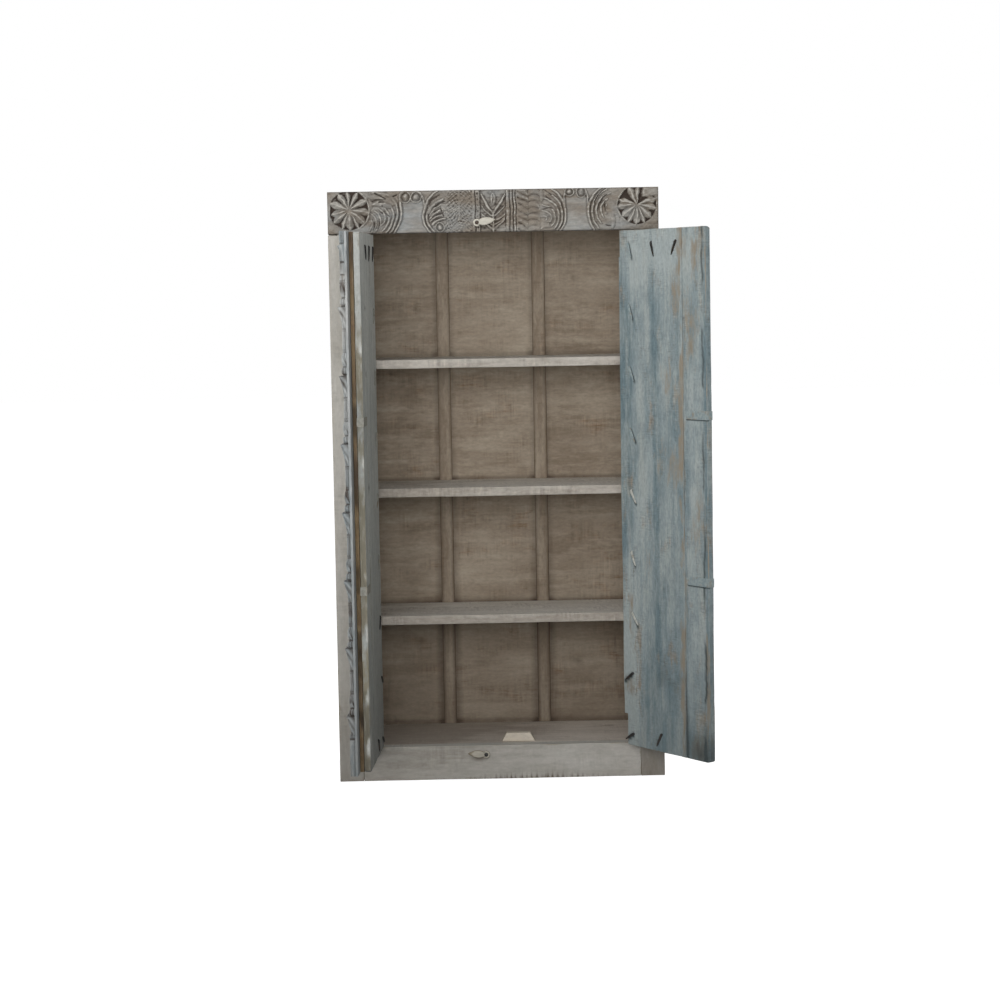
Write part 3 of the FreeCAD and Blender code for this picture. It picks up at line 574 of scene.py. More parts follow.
# A painted shadow under the upper turn button
hollow += 0.4 * np.exp(-((X - 472) / 26) ** 2 - ((Z - 13) / 6) ** 2)
raised = np.clip((relief - soften(relief, 25)) / 4 + 0.3 * (in_rosette & (relief > 7)), 0, 1)
rows, columns = X.shape
front = np.stack([X.ravel() - HALF_WIDTH, LINTEL_GROUND - relief.ravel(), LINTEL_FOOT + Z.ravel()], 1)
index = np.arange(rows * columns).reshape(rows, columns)
quads = np.stack([index[:-1, :-1], index[:-1, 1:], index[1:, 1:], index[1:, :-1]], -1)
quads = quads.reshape(-1, 4).tolist()
rim = np.concatenate([index[0, :-1], index[:-1, -1], index[-1, :0:-1], index[:0:-1, 0]])
loops = [rim]
points = [front]
BACK_ARRIS = 1.2
for depth in (-195, -187, -178, -169, FRAME_BACK - BACK_ARRIS, FRAME_BACK):
    ring = front[rim].copy()
    ring[:, 1] = depth
    if depth == FRAME_BACK:
        ring[:, 0] = np.clip(ring[:, 0], BACK_ARRIS - HALF_WIDTH, HALF_WIDTH - BACK_ARRIS)
        ring[:, 2] = np.clip(ring[:, 2], LINTEL_FOOT + BACK_ARRIS, LINTEL_FOOT + LINTEL_TALL - BACK_ARRIS)
    loops.append(np.arange(len(rim)) + sum(len(p) for p in points))
    points.append(ring)
for near, far in zip(loops[:-1], loops[1:]):
    quads += np.stack([near, far, np.roll(far, -1), np.roll(near, -1)], 1).tolist()
quads.append(loops[-1].tolist())
points = np.concatenate(points)
extra_points = len(points) - len(front)
marks = {"grain": points[:, [0, 2, 1]] / 1000 + 3.3,
         "wear_and_highlight": np.concatenate([raised.ravel(), np.full(extra_points, 0.12)]),
         "grime_and_shade": np.concatenate([hollow.ravel(), np.full(extra_points, 0.15)]),
         "tone": np.concatenate([0.14 - 0.18 * soften(pale, 4).ravel() + 0.24 * rough(flat, 55, 13),
                                 np.full(extra_points, 0.05)])}
# Carved hardwood under old limewash: chalk left in a grey film, dark brown dirt settled in the cuts along
# with painted shade, and painted highlights on the ridges
carved_limewash = painted_wood("carved_limewash", ("#909393", "#7b7267"), ("#7f7567", "#635748"), "#9d9a93",
                               "#2e231b", "#b3afa7", 0.1, 0.15, broken=0.2)
solid("lintel_carved", points, quads, "carcass", ["lintel"], carved_limewash, marks, 60)

# Sides, rear posts and top boards
# Each side is two planks edge to edge, nailed to the stile in front and to a square post in the back corner.
# The two top boards lie on the sides behind the lintel. The outside has the same limewash as the frame.
INNER_HALF = 478
SIDE_TOP = 1778
CASE_TOP = 1800
CASE_BACK = 210
PLANKS_MEET = 22.5
PLANKS = (("front", FRAME_BACK, PLANKS_MEET), ("rear", PLANKS_MEET, CASE_BACK))
POST_INNER = 438
POST_FRONT = 155
POST_BACK = 195
for side, sign in (("left", -1), ("right", 1)):
    edges = sorted((sign * INNER_HALF, sign * HALF_WIDTH))
    for label, start, end in PLANKS:
        board(f"{side}_side_{label}_washed", (edges[0], start, 0), (edges[1], end, SIDE_TOP), 2, "carcass",
              [f"{side}_side_{label}_plank"], "whitewashed_wood", limewashed_hardwood,
              seed=11 + sign + (4 if label == "rear" else 0), tone=0.04 * sign, arris=1.6, dirt_and_shade=foot_dust_and_shade)
for seed, (label, start, end) in enumerate(PLANKS, 21):
    board(f"top_{label}_washed", (-HALF_WIDTH, start, SIDE_TOP), (HALF_WIDTH, end, CASE_TOP), 0, "carcass",
          [f"top_{label}_board"], "whitewashed_wood", limewashed_hardwood, seed=seed, arris=1.6)

# Hardwood inside, under a thin grey-brown wash: matt and warm, with the saw's marks across the boards
thin_washed_board = painted_wood("thin_washed_board", ("#9c9080", "#7f7161"), ("#87705a", "#6b5541"),
                                 "#a69b8a", "#43362a", "#7a6a53", 0.14, 1.0, (8, 90), 0.15, 0.0,
                                 (1.0, 0.24, 0.5))
for side, sign in (("left", -1), ("right", 1)):
    edges = sorted((sign * POST_INNER, sign * INNER_HALF))
    board(f"{side}_rear_post_washed", (edges[0], POST_FRONT, 0), (edges[1], POST_BACK, SIDE_TOP), 2,
          "carcass", [f"{side}_rear_post"], "inside_wash", thin_washed_board, seed=31 + sign, arris=1.8)

# Back: three boards and two cover strips
# Wide boards sawn across, nailed to the posts from behind, with a flat strip over each joint on the inside.
# Dirt has gathered beside the strips, which draws a dark line down each edge.
BACK_FOOT = 20
BACK_JOINTS = (-160, 145)
STRIP_EDGES = (-181, -139, 124, 166)
STRIP_FRONT = 189
SHELF_TOPS = {"lower": 500, "middle": 895, "upper": 1290}


def back_dirt_and_shade(points):
    """Dark lines where the cover strips and the shelves meet the boards, knots, darker bands along the side
    walls, and painted shade that deepens towards the foot of the case.
    """
    lines = np.min(np.abs(points[:, :1] - np.array([STRIP_EDGES])), axis=1)
    knots = np.zeros(len(points))
    for x, z, size in ((-255, 1328, 9), (264, 1534, 13), (-330, 1240, 8), (250, 300, 10), (-60, 300, 9)):
        knots += patch(points, x, z, size, size)
    above_shelf = points[:, 2:] - np.array([[FLOOR_TOP, *SHELF_TOPS.values()]])
    seams = np.max(np.exp(-np.abs(above_shelf - 3) / 6), axis=1) * (points[:, 1] > POST_BACK - 1)
    corners = np.exp(-(INNER_HALF - np.abs(points[:, 0])) / 30)
    dust = 0.6 * seams + 0.9 * np.exp(-lines / 3.2) + 0.35 * corners + 0.5 * knots
    # The ramp is painted shade, deepening downwards on every face
    return dust * (points[:, 1] < 200) + 0.3 * ramp(points[:, 2], 900, -800)


for label, start, end, seed in (("left", -INNER_HALF, BACK_JOINTS[0], 41), ("centre", *BACK_JOINTS, 42),
                                ("right", BACK_JOINTS[1], INNER_HALF, 43)):
    board(f"back_{label}_washed", (start, POST_BACK, BACK_FOOT), (end, CASE_BACK, SIDE_TOP), 0, "carcass",
          [f"back_board_{label}"], "inside_wash", thin_washed_board, seed=seed,
          tone=0.02 if label == "centre" else 0.08, arris=1.4, dents=0.3, dirt_and_shade=back_dirt_and_shade)
for label, start, end, seed in (("left", *STRIP_EDGES[:2], 44), ("right", *STRIP_EDGES[2:], 45)):
    board(f"back_strip_{label}_washed", (start, STRIP_FRONT, FLOOR_TOP), (end, POST_BACK, SIDE_TOP), 2,
          "carcass", [f"back_strip_{label}"], "inside_wash", thin_washed_board, seed=seed, tone=0.16,
          arris=1.2, dents=0.4, dirt_and_shade=back_dirt_and_shade)

# Floor, shelves and the cleats that carry them
# Planed boards that rest on cleats screwed to the sides, notched round the rear posts.
# Their tops are rubbed pale by use, most of all to the right.
FLOOR_UNDER = 80
BEARER_HALF = 22.5
SHELF_THICK = 28
SHELF_HALF = 477.5
SHELF_FRONT = -138
SHELF_BACK = 188
CLEAT_INNER = 458
CLEAT_TALL = 25


def post_notches(low, high):
    """The two notches round the rear posts, a little larger than the board is thick."""
    return [((-480, POST_FRONT, low), (-POST_INNER, 200, high)),
            ((POST_INNER, POST_FRONT, low), (480, 200, high))]


# The floor board has the same wash, rubbed paler to the front and right where things slide in and out
rubbed_floor_board = painted_wood("rubbed_floor_board", ("#d2c9bf", "#9d9287"), ("#8d806d", "#695b49"),
                                  "#ada499", "#463a2d", "#a59c8f", 0.06, 0.5, (6, 120), 0.12)
board("floor_board_washed", (-INNER_HALF, FRAME_BACK, FLOOR_UNDER), (INNER_HALF, POST_BACK, FLOOR_TOP), 0,
      "carcass", ["floor_board"], "inside_wash", rubbed_floor_board, seed=51,
      tone=lambda p: 0.06 - 0.0014 * p[:, 0] + 0.0007 * p[:, 1], cuts=post_notches(70, 120))
board("floor_bearer_washed", (-BEARER_HALF, FRAME_BACK, 0), (BEARER_HALF, POST_BACK, FLOOR_UNDER), 1,
      "carcass", ["floor_bearer"], "inside_wash", thin_washed_board, seed=52)
# Washed shelf board, rubbed by handling: paler and greyer than the back, with plain saw marks
rubbed_shelf_board = painted_wood("rubbed_shelf_board", ("#d6d1c9", "#a0988e"), ("#998d7b", "#776a58"),
                                  "#c0bab0", "#4a3d30", "#b3ada4", 0.06, 1.5, (9, 60), 0.16)


def shelf_wear_and_shade(points):
    """The tops are rubbed palest to the right, and the sawn front edges keep more of the wash, with painted
    shade that deepens on the low shelves."""
    top = -0.2 - 0.0008 * points[:, 0]
    edge = 0.14 + 0.0003 * (SHELF_TOPS["upper"] - points[:, 2])
    return np.where(points[:, 1] < SHELF_FRONT + 3, edge, top)


for seed, (label, top) in enumerate(SHELF_TOPS.items(), 53):
    board(f"{label}_shelf_washed", (-SHELF_HALF, SHELF_FRONT, top - SHELF_THICK),
          (SHELF_HALF, SHELF_BACK, top), 0, "carcass", [f"{label}_shelf"], "inside_wash",
          rubbed_shelf_board, seed=seed, tone=shelf_wear_and_shade, arris=2.2, dents=1.0,
          cuts=post_notches(top - 40, top + 10))
cleat_tops = {"floor": FLOOR_UNDER}
for label, top in SHELF_TOPS.items():
    cleat_tops[label] = top - SHELF_THICK
for side, sign in (("left", -1), ("right", 1)):
    edges = sorted((sign * CLEAT_INNER, sign * INNER_HALF))
    for label, top in cleat_tops.items():
        board(f"{side}_{label}_cleat_washed", (edges[0], SHELF_FRONT, top - CLEAT_TALL),
              (edges[1], POST_FRONT, top), 1, "carcass", [f"{side}_shelf_cleats"], "inside_wash",
              thin_washed_board, seed=61 + sign, arris=1.2, dents=0.4)

# Door stop: a pale block on the floor behind the rail
# A new offcut of softwood with sloping ends, nailed down and never washed.
STOP_LONG = 103
STOP_TALL = 26
STOP_TAPER = 31
STOP_FRONT = -152
STOP_BACK = -122


def stop_slope(points):
    """Draws the block's ends in towards its top."""
    points = points.copy()
    share = ramp(points[:, 2], FLOOR_TOP, STOP_TALL)
    middle = STOP_LONG / 2
    points[:, 0] = middle + (points[:, 0] - middle) * (1 - share * STOP_TAPER / STOP_LONG)
    return points


# Bare planed softwood: creamy, with faint darker growth rings along it
planed_softwood = painted_wood("planed_softwood", ("#d3cbbf", "#c6bcab"), ("#c6b89f", "#b19d7e"),
                               "#d4ccbd", "#8a775c", "#cfc5b3", 0.05, 0.1)
board("door_stop_planed", (0, STOP_FRONT, FLOOR_TOP), (STOP_LONG, STOP_BACK, FLOOR_TOP + STOP_TALL), 0,
      "carcass", ["door_stop_block"], "bare_pale_wood", planed_softwood, seed=71, arris=1.2, dents=0.3,
      shape=stop_slope)

# Doors: old ledged planks in a front frame
# Two thick planks behind a stile, rails and a meeting batten, all nailed through. The paint is lime blue,
# many times renewed and rubbed off along the grain, and the joints have gone brown.
DOOR_FOOT = 108.5
DOOR_TOP = 1669.5
DOOR_WIDE = 418
DOOR_BACK = 57
PLANK_FRONT = 37
PLANK_JOINT = 306
TOP_RAIL = 90
BOTTOM_RAIL = 110
MIDDLE_RAIL = 60
STILE_WIDE = 70
STILE_FRONT = 4
RAIL_FRONT = 13
WIDE_EDGE = 305.2
NARROW_EDGE = 306.8
OPEN_ANGLES = {"left": 93.5, "right": 123}
PIN_X = 424
PIN_Y = -215.5
PIN_TO_EDGE = 2
PIN_TO_FRONT = 5.5
STRAP_HEIGHTS = {"lower": 638.5, "upper": 1124.5}
EDGE_NAILS = [(50, 146.5 + 185.625 * count, slant)
              for count, slant in enumerate((-62, -58, 38, 24, 34, 30, 26, 22, 18))]


def hang(side):
    """Turns a door's own sizes, from its hinge edge and its front, into places on the open door."""
    open_angle = math.radians(OPEN_ANGLES[side])
    sign = 1 if side == "left" else -1

    def place(points):
        along = points[:, 0] + PIN_TO_EDGE
        deep = points[:, 1] + PIN_TO_FRONT
        x = -PIN_X + along * math.cos(open_angle) + deep * math.sin(open_angle)
        y = PIN_Y - along * math.sin(open_angle) + deep * math.cos(open_angle)
        return np.stack([x * sign, y, points[:, 2]], 1)
    return place


# Old blue lime paint on hardwood: powdery, blue-grey over brown, in long streaks with pale rubs
rubbed_blue_paint = painted_wood("rubbed_blue_paint", ("#a1aaaa", "#6a7c82"), ("#958b7d", "#7c7265"),
                                 "#abb0ab", "#3b4445", "#8f8677", 0.15, 1.25, (4, 34), 0.22, 0.12,
                                 (0.3, 0.46, 0.42))
# The same paint on the other door, faded and rubbed nearly to grey
faded_grey_paint = painted_wood("faded_grey_paint", ("#c3c5c0", "#9fa3a0"), ("#a89f91", "#857a6b"),
                                "#c6c4bd", "#403e38", "#8d8776", 0.1, 0.6, (4, 34), 0.22, 0.25,
                                (0.5, 0.7, 0.45))
# Bare old hardwood on the left door's batten: brown and dry, with no paint left
dry_brown_hardwood = painted_wood("dry_brown_hardwood", ("#816e53", "#614d34"), ("#7d6346", "#4f3d2a"),
                                  "#8c7a60", "#2e2419", "#86755b", 0.25, 0.3, broken=0.2)


def up_the_door(points, size, seed):
    """Unevenness from -1 to 1 that changes only with the height on a door."""
    return rough(points * [0, 0, 1], size, seed)


def blue_bands(points):
    """The right door's broad bands: chalky beside the nails, deep blue down the middle and at the foot, and
    paler towards the top as painted light.
    """
    low = ramp(points[:, 2], 760, -400)
    high = 1 - low
    a = points[:, 0] + 9 * rough(points, (40, 60, 120), 74)
    bands = 0.03 + 0.08 * hump(points[:, 2], 1150, 330) + 0.12 * rough(points, (30, 60, 45), 75)
    for depth, centre, wide, share in (
            (-0.2, 112, 34, high), (0.2, 168, 11, high), (-0.12, 218, 22, high), (0.15, 22, 24, high),
            (-0.06, 362, 34, high), (0.16, 185, 85, low), (-0.7, 36, 38, low), (0.1, 380, 45, low)):
        bands += depth * share * hump(a, centre, wide)
    bands += 0.28 * hump(points[:, 0], 411, 7)
    bands -= 0.14 * ramp(a, 320, 20) * ramp(points[:, 2], 1350, -200)
    # Painted light: the door is paler towards its top, less so on the narrow plank
    painted_light_at_top = ramp(points[:, 2], 1440, 190)
    return bands - (0.42 - 0.26 * (points[:, 0] > PLANK_JOINT)) * painted_light_at_top


def blue_rub(points):
    """The right door's bare places: the joint of the planks, patches beside it, and the free edge's foot."""
    ragged = rough(points, (26, 60, 70), 77) + 0.9 * rough(points, (12, 40, 30), 78)
    joint = points[:, 0] - 304 - 7 * up_the_door(points, 60, 76)
    bare = 1.05 * hump(joint, -8, 19) * np.clip(0.62 + 0.8 * ragged, 0.1, 1)
    beside = np.exp(-np.abs(points[:, 0] - PLANK_JOINT) / 4)
    bare = np.maximum(bare, 0.7 * beside * np.clip(0.8 + 0.6 * ragged, 0.2, 1))
    torn = np.clip(0.85 + 0.75 * ragged, 0, 1.2)
    for a, z, wide, tall, depth in (
            (300, 1480, 75, 100, 0.8), (325, 1330, 60, 90, 0.75), (250, 1210, 70, 80, 0.7),
            (240, 960, 90, 110, 0.66), (300, 560, 30, 160, 0.6), (40, 520, 26, 120, 0.95),
            (120, 1510, 30, 60, 0.25), (408, 330, 7, 210, 1.1), (375, 140, 60, 60, 0.75),
            (4, 1560, 8, 90, 0.8), (350, 1390, 60, 80, 0.6), (355, 1590, 60, 90, 0.85),
            (30, 300, 40, 60, 0.6), (370, 820, 60, 150, 0.6), (140, 700, 60, 120, 0.45)):
        bare = np.maximum(bare, depth * patch(points, a, z, wide, tall) * torn)
    return bare


def blue_dirt_and_shade(points):
    """Marks on the right door: dirt and painted shade towards its foot, dirt on its free edge, a painted
    shadow line under each strap, and a painted shadow beside each nail's bent tip.
    """
    # Darker towards the foot, from dirt and painted shade
    dirt_and_shade = 0.3 * ramp(points[:, 2], 1000, -1000) ** 1.5
    dirt_and_shade += 0.1 * ramp(points[:, 0], 416.2, 1.2) + 0.5 * patch(points, 380, 130, 65, 60)
    behind = points[:, 1] > 50
    # Painted shadow lines under the straps, on the door's back
    for z in STRAP_HEIGHTS.values():
        dirt_and_shade += hump(points[:, 2], z - 14.2, 2.6) * behind * (points[:, 0] > 318)
    dirt_and_shade += 0.35 * patch(points, 230, 330, 70, 40) * np.clip(0.5 + rough(points, 22, 79), 0, 1)
    crumbled = points[:, 0] - 399 - 5 * up_the_door(points, 45, 80) - 4 * up_the_door(points, 12, 86)
    dirt_and_shade += 0.8 * hump(crumbled, 0, 5) * np.clip(0.65 + 0.9 * up_the_door(points, 34, 87), 0, 1)
    foot_line = points[:, 0] - 309 - 5 * up_the_door(points, 40, 88)
    dirt_and_shade += 0.55 * hump(foot_line, 0, 6) * ramp(points[:, 2], 420, -200)
    # Painted shadows beside the nails' bent tips, on the door's back
    for a, z, slant in EDGE_NAILS:
        run = np.array([math.sin(math.radians(slant)), -math.cos(math.radians(slant))])
        from_root = points[:, [0, 2]] - [a + (3 if z > 1000 else -3), z - 4]
        along = np.clip(from_root @ run, 0, 46)
        dirt_and_shade += 0.95 * behind * hump(np.linalg.norm(from_root - along[:, None] * run, axis=1), 0, 5)
    return dirt_and_shade


def pale_chips(points):
    """Long chips of pale undercoat over the corner of the left door's free edge and its back."""
    ragged = np.clip(0.8 + 1.1 * rough(points, (9, 30, 13), 90), 0, 1)
    ragged *= np.clip((points[:, 1] - 47 - 4 * up_the_door(points, 14, 91)) / 3, 0, 1)
    chips = np.zeros(len(points))
    for z, wide, tall in ((185, 22, 34), (330, 15, 24), (512, 17, 26), (684, 13, 20), (1010, 12, 18),
                          (1338, 11, 16)):
        away = ((points[:, 0] - 408) / wide) ** 4 + ((points[:, 2] - z) / tall) ** 4
        chips = np.maximum(chips, np.exp(-away))
    return chips * ragged


def grey_bands(points):
    """The left door is palest at its top, and in its chips."""
    return 0.04 - 0.3 * ramp(points[:, 2], 1150, 500) - 0.55 * pale_chips(points)


def grey_flakes(points):
    """Where the left door's paint has flaked back from its free edge, most of all low down."""
    ragged = rough(points, (18, 60, 44), 81) + 0.5 * rough(points, (9, 30, 18), 82)
    flaked = np.clip(1.2 - (DOOR_WIDE - points[:, 0]) / 55, 0, 1) * np.clip(2.2 * ragged - 0.35, 0, 1)
    flaked *= np.clip((900 - points[:, 2]) / 500, 0.15, 1)
    return np.clip(1.5 * flaked, 0, 1) * (1 - pale_chips(points))


def grey_rub(points):
    """The left door's free edge is rubbed to pale wood, and so are its flakes."""
    edge = np.interp(points[:, 2], [108, 700, 1200, 1500], [0.85, 0.95, 0.8, 0.4])
    edge = (edge + 0.6 * rough(points, (20, 20, 60), 83)) * ramp(points[:, 0], 416.4, 1.2)
    return np.maximum(edge * (1 - 0.6 * pale_chips(points)), grey_flakes(points))


def grey_dirt_and_shade(points):
    """The left door darkens towards the foot, from dirt and painted shade, with iron stains by the joint and
    damp in the bare groove.
    """
    dirt_and_shade = 0.68 * ramp(points[:, 2], 1200, -1200) ** 1.3
    dirt_and_shade *= 1 - np.maximum(0.85 * grey_flakes(points), pale_chips(points))
    dirt_and_shade *= np.where(points[:, 0] > 416.4, 0.8, 1)
    dirt_and_shade += (0.3 * ramp(points[:, 0], 416.4, 1.2) * ramp(points[:, 2], 500, 400)
             * (1 - pale_chips(points)))
    for z in (928, 1259, 1450):
        smear = patch(points, 300, z, 26, 10) * (points[:, 1] > 50)
        dirt_and_shade += 0.75 * smear * np.clip(0.6 + rough(points, (14, 14, 7), 89), 0, 1)
    groove = (points[:, 1] < PLANK_FRONT) & (points[:, 0] > 380)
    stains = 1.4 * rough(points, (40, 40, 70), 84) + 0.8 * rough(points, (20, 20, 26), 85)
    stains = np.clip(0.3 + stains, 0, 1)
    return dirt_and_shade * np.where(groove, 0.3, 1) + 0.6 * stains * groove


def worn_outline(points):
    """The free edge and its corners are no longer straight."""
    points = points.copy()
    near = ramp(points[:, 0], 390, 28)
    points[:, 0] -= near * (0.9 + 0.9 * up_the_door(points, 110, 61))
    corner = ramp(points[:, 0], 400, 18) ** 2
    points[:, 2] -= corner * 7 * ramp(points[:, 2], 1600, 69)
    points[:, 2] += corner * 7 * ramp(points[:, 2], 180, -70)
    return points


strap_lines = [z + shift for z in STRAP_HEIGHTS.values() for shift in (-20, -17, -14.2, -12)]
clear = (DOOR_TOP - TOP_RAIL) - (DOOR_FOOT + BOTTOM_RAIL)
middle_spans = []
for count in range(3):
    centre = DOOR_FOOT + BOTTOM_RAIL + clear * (count + 1) / 4
    middle_spans.append((centre - MIDDLE_RAIL / 2, centre + MIDDLE_RAIL / 2))
rails = (("top_rail", [(DOOR_TOP - TOP_RAIL, DOOR_TOP)]),
         ("bottom_rail", [(DOOR_FOOT, DOOR_FOOT + BOTTOM_RAIL)]),
         ("middle_rails", middle_spans))
# Each plank has half of the lap that closes their joint
rear_lap = [((WIDE_EDGE, 47, DOOR_FOOT + 3), (308, 51, DOOR_TOP - 3))]
front_lap = [((304, 41, DOOR_FOOT + 3), (NARROW_EDGE, 46, DOOR_TOP - 3))]
# The right door's hinge edge has rotted away at its foot, and a little at its top
rotted_edge = [((-5, -5, DOOR_FOOT - 5), (19, 70, 205)), ((-5, -5, 1590), (7, 70, DOOR_TOP + 5))]
slot = "blue_grey_door_paint"
for side, paint, bands, rub, dirt_and_shade, notches, batten_front, batten_end, batten_finish, base in (
        ("left", faded_grey_paint, grey_bands, grey_rub, grey_dirt_and_shade, [], 24, 410, dry_brown_hardwood, 80),
        ("right", rubbed_blue_paint, blue_bands, blue_rub, blue_dirt_and_shade, rotted_edge, RAIL_FRONT, 362,
         rubbed_blue_paint, 100)):
    body = f"{side}_door"
    hung = {"place": hang(side), "mirrored": side == "right"}
    for label, low, high, cuts, laps, finish in (
            ("wide_plank", (0, PLANK_FRONT), (WIDE_EDGE, DOOR_BACK), notches, rear_lap, paint),
            ("narrow_plank", (NARROW_EDGE, PLANK_FRONT), (DOOR_WIDE, DOOR_BACK), [], front_lap, paint),
            ("hinge_stile", (0, STILE_FRONT), (STILE_WIDE, PLANK_FRONT), notches, [], paint),
            ("meeting_batten", (PLANK_JOINT, batten_front), (batten_end, PLANK_FRONT), [], [],
             batten_finish)):
        board(f"{body}_{label}_painted", (*low, DOOR_FOOT), (*high, DOOR_TOP), 2, body,
              [f"{body}_{label}"], slot, finish, extra=laps, cuts=cuts, arris=2.6, dents=1.8,
              seed=base + len(label), tone=bands, dirt_and_shade=dirt_and_shade, rub=rub, shape=worn_outline,
              lines_at=strap_lines if "plank" in label else (),
              steps=(22, 10) if "stile" in label else (9, 5), **hung)
    for label, spans in rails:
        for count, (low, high) in enumerate(spans):
            board(f"{body}_{label}_{count}_painted", (STILE_WIDE, RAIL_FRONT, low),
                  (PLANK_JOINT, PLANK_FRONT, high), 0, body, [f"{body}_{label}"], slot, paint, arris=2.4,
                  dents=1.2, seed=base + 20 + count + len(label), dirt_and_shade=dirt_and_shade, **hung)

# Cover post on the left door's meeting edge
# A carved hardwood moulding nailed over the joint of the doors: a leaf capital, then fluted shafts, each with
# a ring, an upturned leaf with a curling tip, a bead and a drooping leaf, down to a plain base.
POST_MIDDLE = 413
POST_HALF = 55
BED = 17.2
SHAFT_HALF = 43.5
SHAFT_FACE = 4.6
POST_BACK_FACE = 24
LEAF_TALL = 60
FIRST_TIP = 172
TIP_EVERY = 196
CROWN_TALL = 178
PLINTH_TALL = 120


def ring_faces(count, sides, first):
    """Quads between rings, with the first and last ring closed."""
    index = np.arange(count * sides).reshape(count, sides) + first
    ahead = np.roll(index, -1, axis=1)
    faces = np.stack([index[:-1], ahead[:-1], ahead[1:], index[1:]], -1).reshape(-1, 4).tolist()
    return faces + [index[0, ::-1].tolist(), index[-1].tolist()]


heights = np.arange(DOOR_FOOT, DOOR_TOP, 2.4)
heights[-1] = DOOR_TOP
half_width = np.full(len(heights), SHAFT_HALF)
face = np.full(len(heights), SHAFT_FACE)
rising = np.zeros(len(heights))
drooping = np.full(len(heights), -1.0)
groove = np.zeros(len(heights))
undercut = np.zeros(len(heights))
for count in range(7):
    tip = DOOR_FOOT + FIRST_TIP + TIP_EVERY * count
    above = heights - tip
    below = np.clip((above + LEAF_TALL) / LEAF_TALL, 0, 1) * (above <= 0)
    face = np.where(below > 0, SHAFT_FACE - 15.2 * below ** 1.8, face)
    half_width = np.where(below > 0, SHAFT_HALF - 8.5 * below, half_width)
    rising = np.maximum(rising, below)
    bead = np.sqrt(np.clip(1 - ((above - 13) / 10) ** 2, 0, 1))
    face -= 4.3 * bead
    half_width += 6.8 * bead
    hanging = ramp(above, 27, 38)
    on_leaf = (above > 27) & (above < 65)
    face -= 3.6 * np.sin(np.pi * hanging) * on_leaf
    half_width += 4.5 * np.sin(np.pi * hanging) * on_leaf
    drooping = np.where(on_leaf, hanging, drooping)
    for offset, depth in ((25, 1.0), (67, 0.8), (73, 0.7), (-63, 0.9), (-69, 0.6)):
        groove = np.maximum(groove, depth * hump(above, offset, 2.0))
    undercut = np.maximum(undercut, hump(above, 2.5, 2.4))
crown = heights - (DOOR_TOP - CROWN_TALL)
on_crown = crown > 0
face = np.where(on_crown, 2.2, face)
half_width = np.where(on_crown, 47.5, half_width)
drooping = np.where(on_crown, -1.0, drooping)
for start, end, swell in ((0, 52, 3.0), (56, 88, 0.8), (92, 141, 1.6), (145, CROWN_TALL, 0.8)):
    share = np.clip((crown - start) / (end - start), 0, 1)
    arch = np.sin(np.pi * share) ** 0.6 * ((share > 0) & (share < 1))
    face = np.where(on_crown, face - 0.7 * swell * arch, face)
    half_width = np.where(on_crown, half_width + swell * arch, half_width)
    groove = np.maximum(groove, hump(crown, end + 2, 1.8) * on_crown)
drooping = np.where((crown > 0) & (crown < 52), crown / 52, drooping)
face = np.where((crown > 118) & (crown < 138), face - 7 * ramp(crown, 118, 20) ** 1.5, face)
plinth = heights < DOOR_FOOT + PLINTH_TALL
face = np.where(plinth, 0.8, face)
half_width = np.where(plinth, 50, half_width)
groove = np.where(plinth, hump(heights, DOOR_FOOT + 108, 2.4), groove)
shaft = (rising == 0) & (drooping < 0) & ~on_crown & ~plinth
# The section, from the left side over the bed, the flank and the front, and back on the right
section = [("side", -1, s) for s in np.linspace(0, 1, 4)]
section += [("bed", -1, s) for s in np.linspace(0.1, 0.9, 3)]
section += [("flank", -1, s) for s in np.linspace(0, 0.95, 11)]
section += [("front", 0, s) for s in np.linspace(-1, 1, 25)]
section += [(kind, 1, s) for kind, way, s in reversed(section[:18])]
rings = []
hollows = []
for kind, way, s in section:
    if kind == "side":
        a = way * (POST_HALF - 0.7 * (s in (0, 1)) + 0 * heights)
        b = POST_BACK_FACE - 6.8 * s + 0 * heights
        cut = 0 * heights
    elif kind == "bed":
        a = way * (POST_HALF - s * (POST_HALF - half_width))
        b = BED + 0 * heights
        cut = 1.2 + 1.2 * s + 0 * heights
    elif kind == "flank":
        flutes = 2.6 * (hump(s, 0.28, 0.1) + hump(s, 0.72, 0.1))
        veins = 2.0 * np.abs(np.sin(6 * rising - 3.2 * s)) ** 3
        fold = 2.6 * (hump(s, drooping, 0.09) + hump(s, 0.55 * drooping, 0.08))
        petals = 2.6 * np.abs(np.sin(9.5 * s)) ** 4
        cut = np.where(shaft, flutes, 0) + np.where(rising > 0, veins, 0) + np.where(drooping >= 0, fold, 0)
        cut = np.where(crown > 141, petals, cut)
        cut = np.maximum(cut, 3.8 * np.maximum(groove, undercut)) + 1.6 * (1 - s) ** 6
        a = way * (half_width - cut)
        b = BED - s * (BED - face)
    else:
        flutes = 2.6 * (0.5 - 0.5 * math.cos(2 * math.pi * s * 2.5)) ** 2
        lobes = 3.0 * np.abs(np.sin(np.pi * (1.5 * abs(s) + heights / 46))) ** 2
        vein = 1.8 * hump(s, 0, 0.07)
        cut = np.where(shaft, flutes, lobes + vein)
        cut = np.where(plinth, 0.5 + 0.2 * flutes, cut)
        cut = np.maximum(cut, 3.2 * np.maximum(groove, undercut))
        a = half_width * s
        b = face + 3.5 * abs(s) ** 4 + cut
    rings.append(np.stack([POST_MIDDLE + a, b, heights], 1))
    # The cuts, and the undercut under each leaf tip, take dirt and painted shade
    hollows.append(np.clip(cut / 3.4, 0, 1) + 0.5 * undercut * (kind == "flank"))
flat_post = np.stack(rings, 1).reshape(-1, 3)
nick = 0.8 * rough(flat_post, 9, 5) + 0.6 * rough(flat_post, (3, 3, 40), 6)
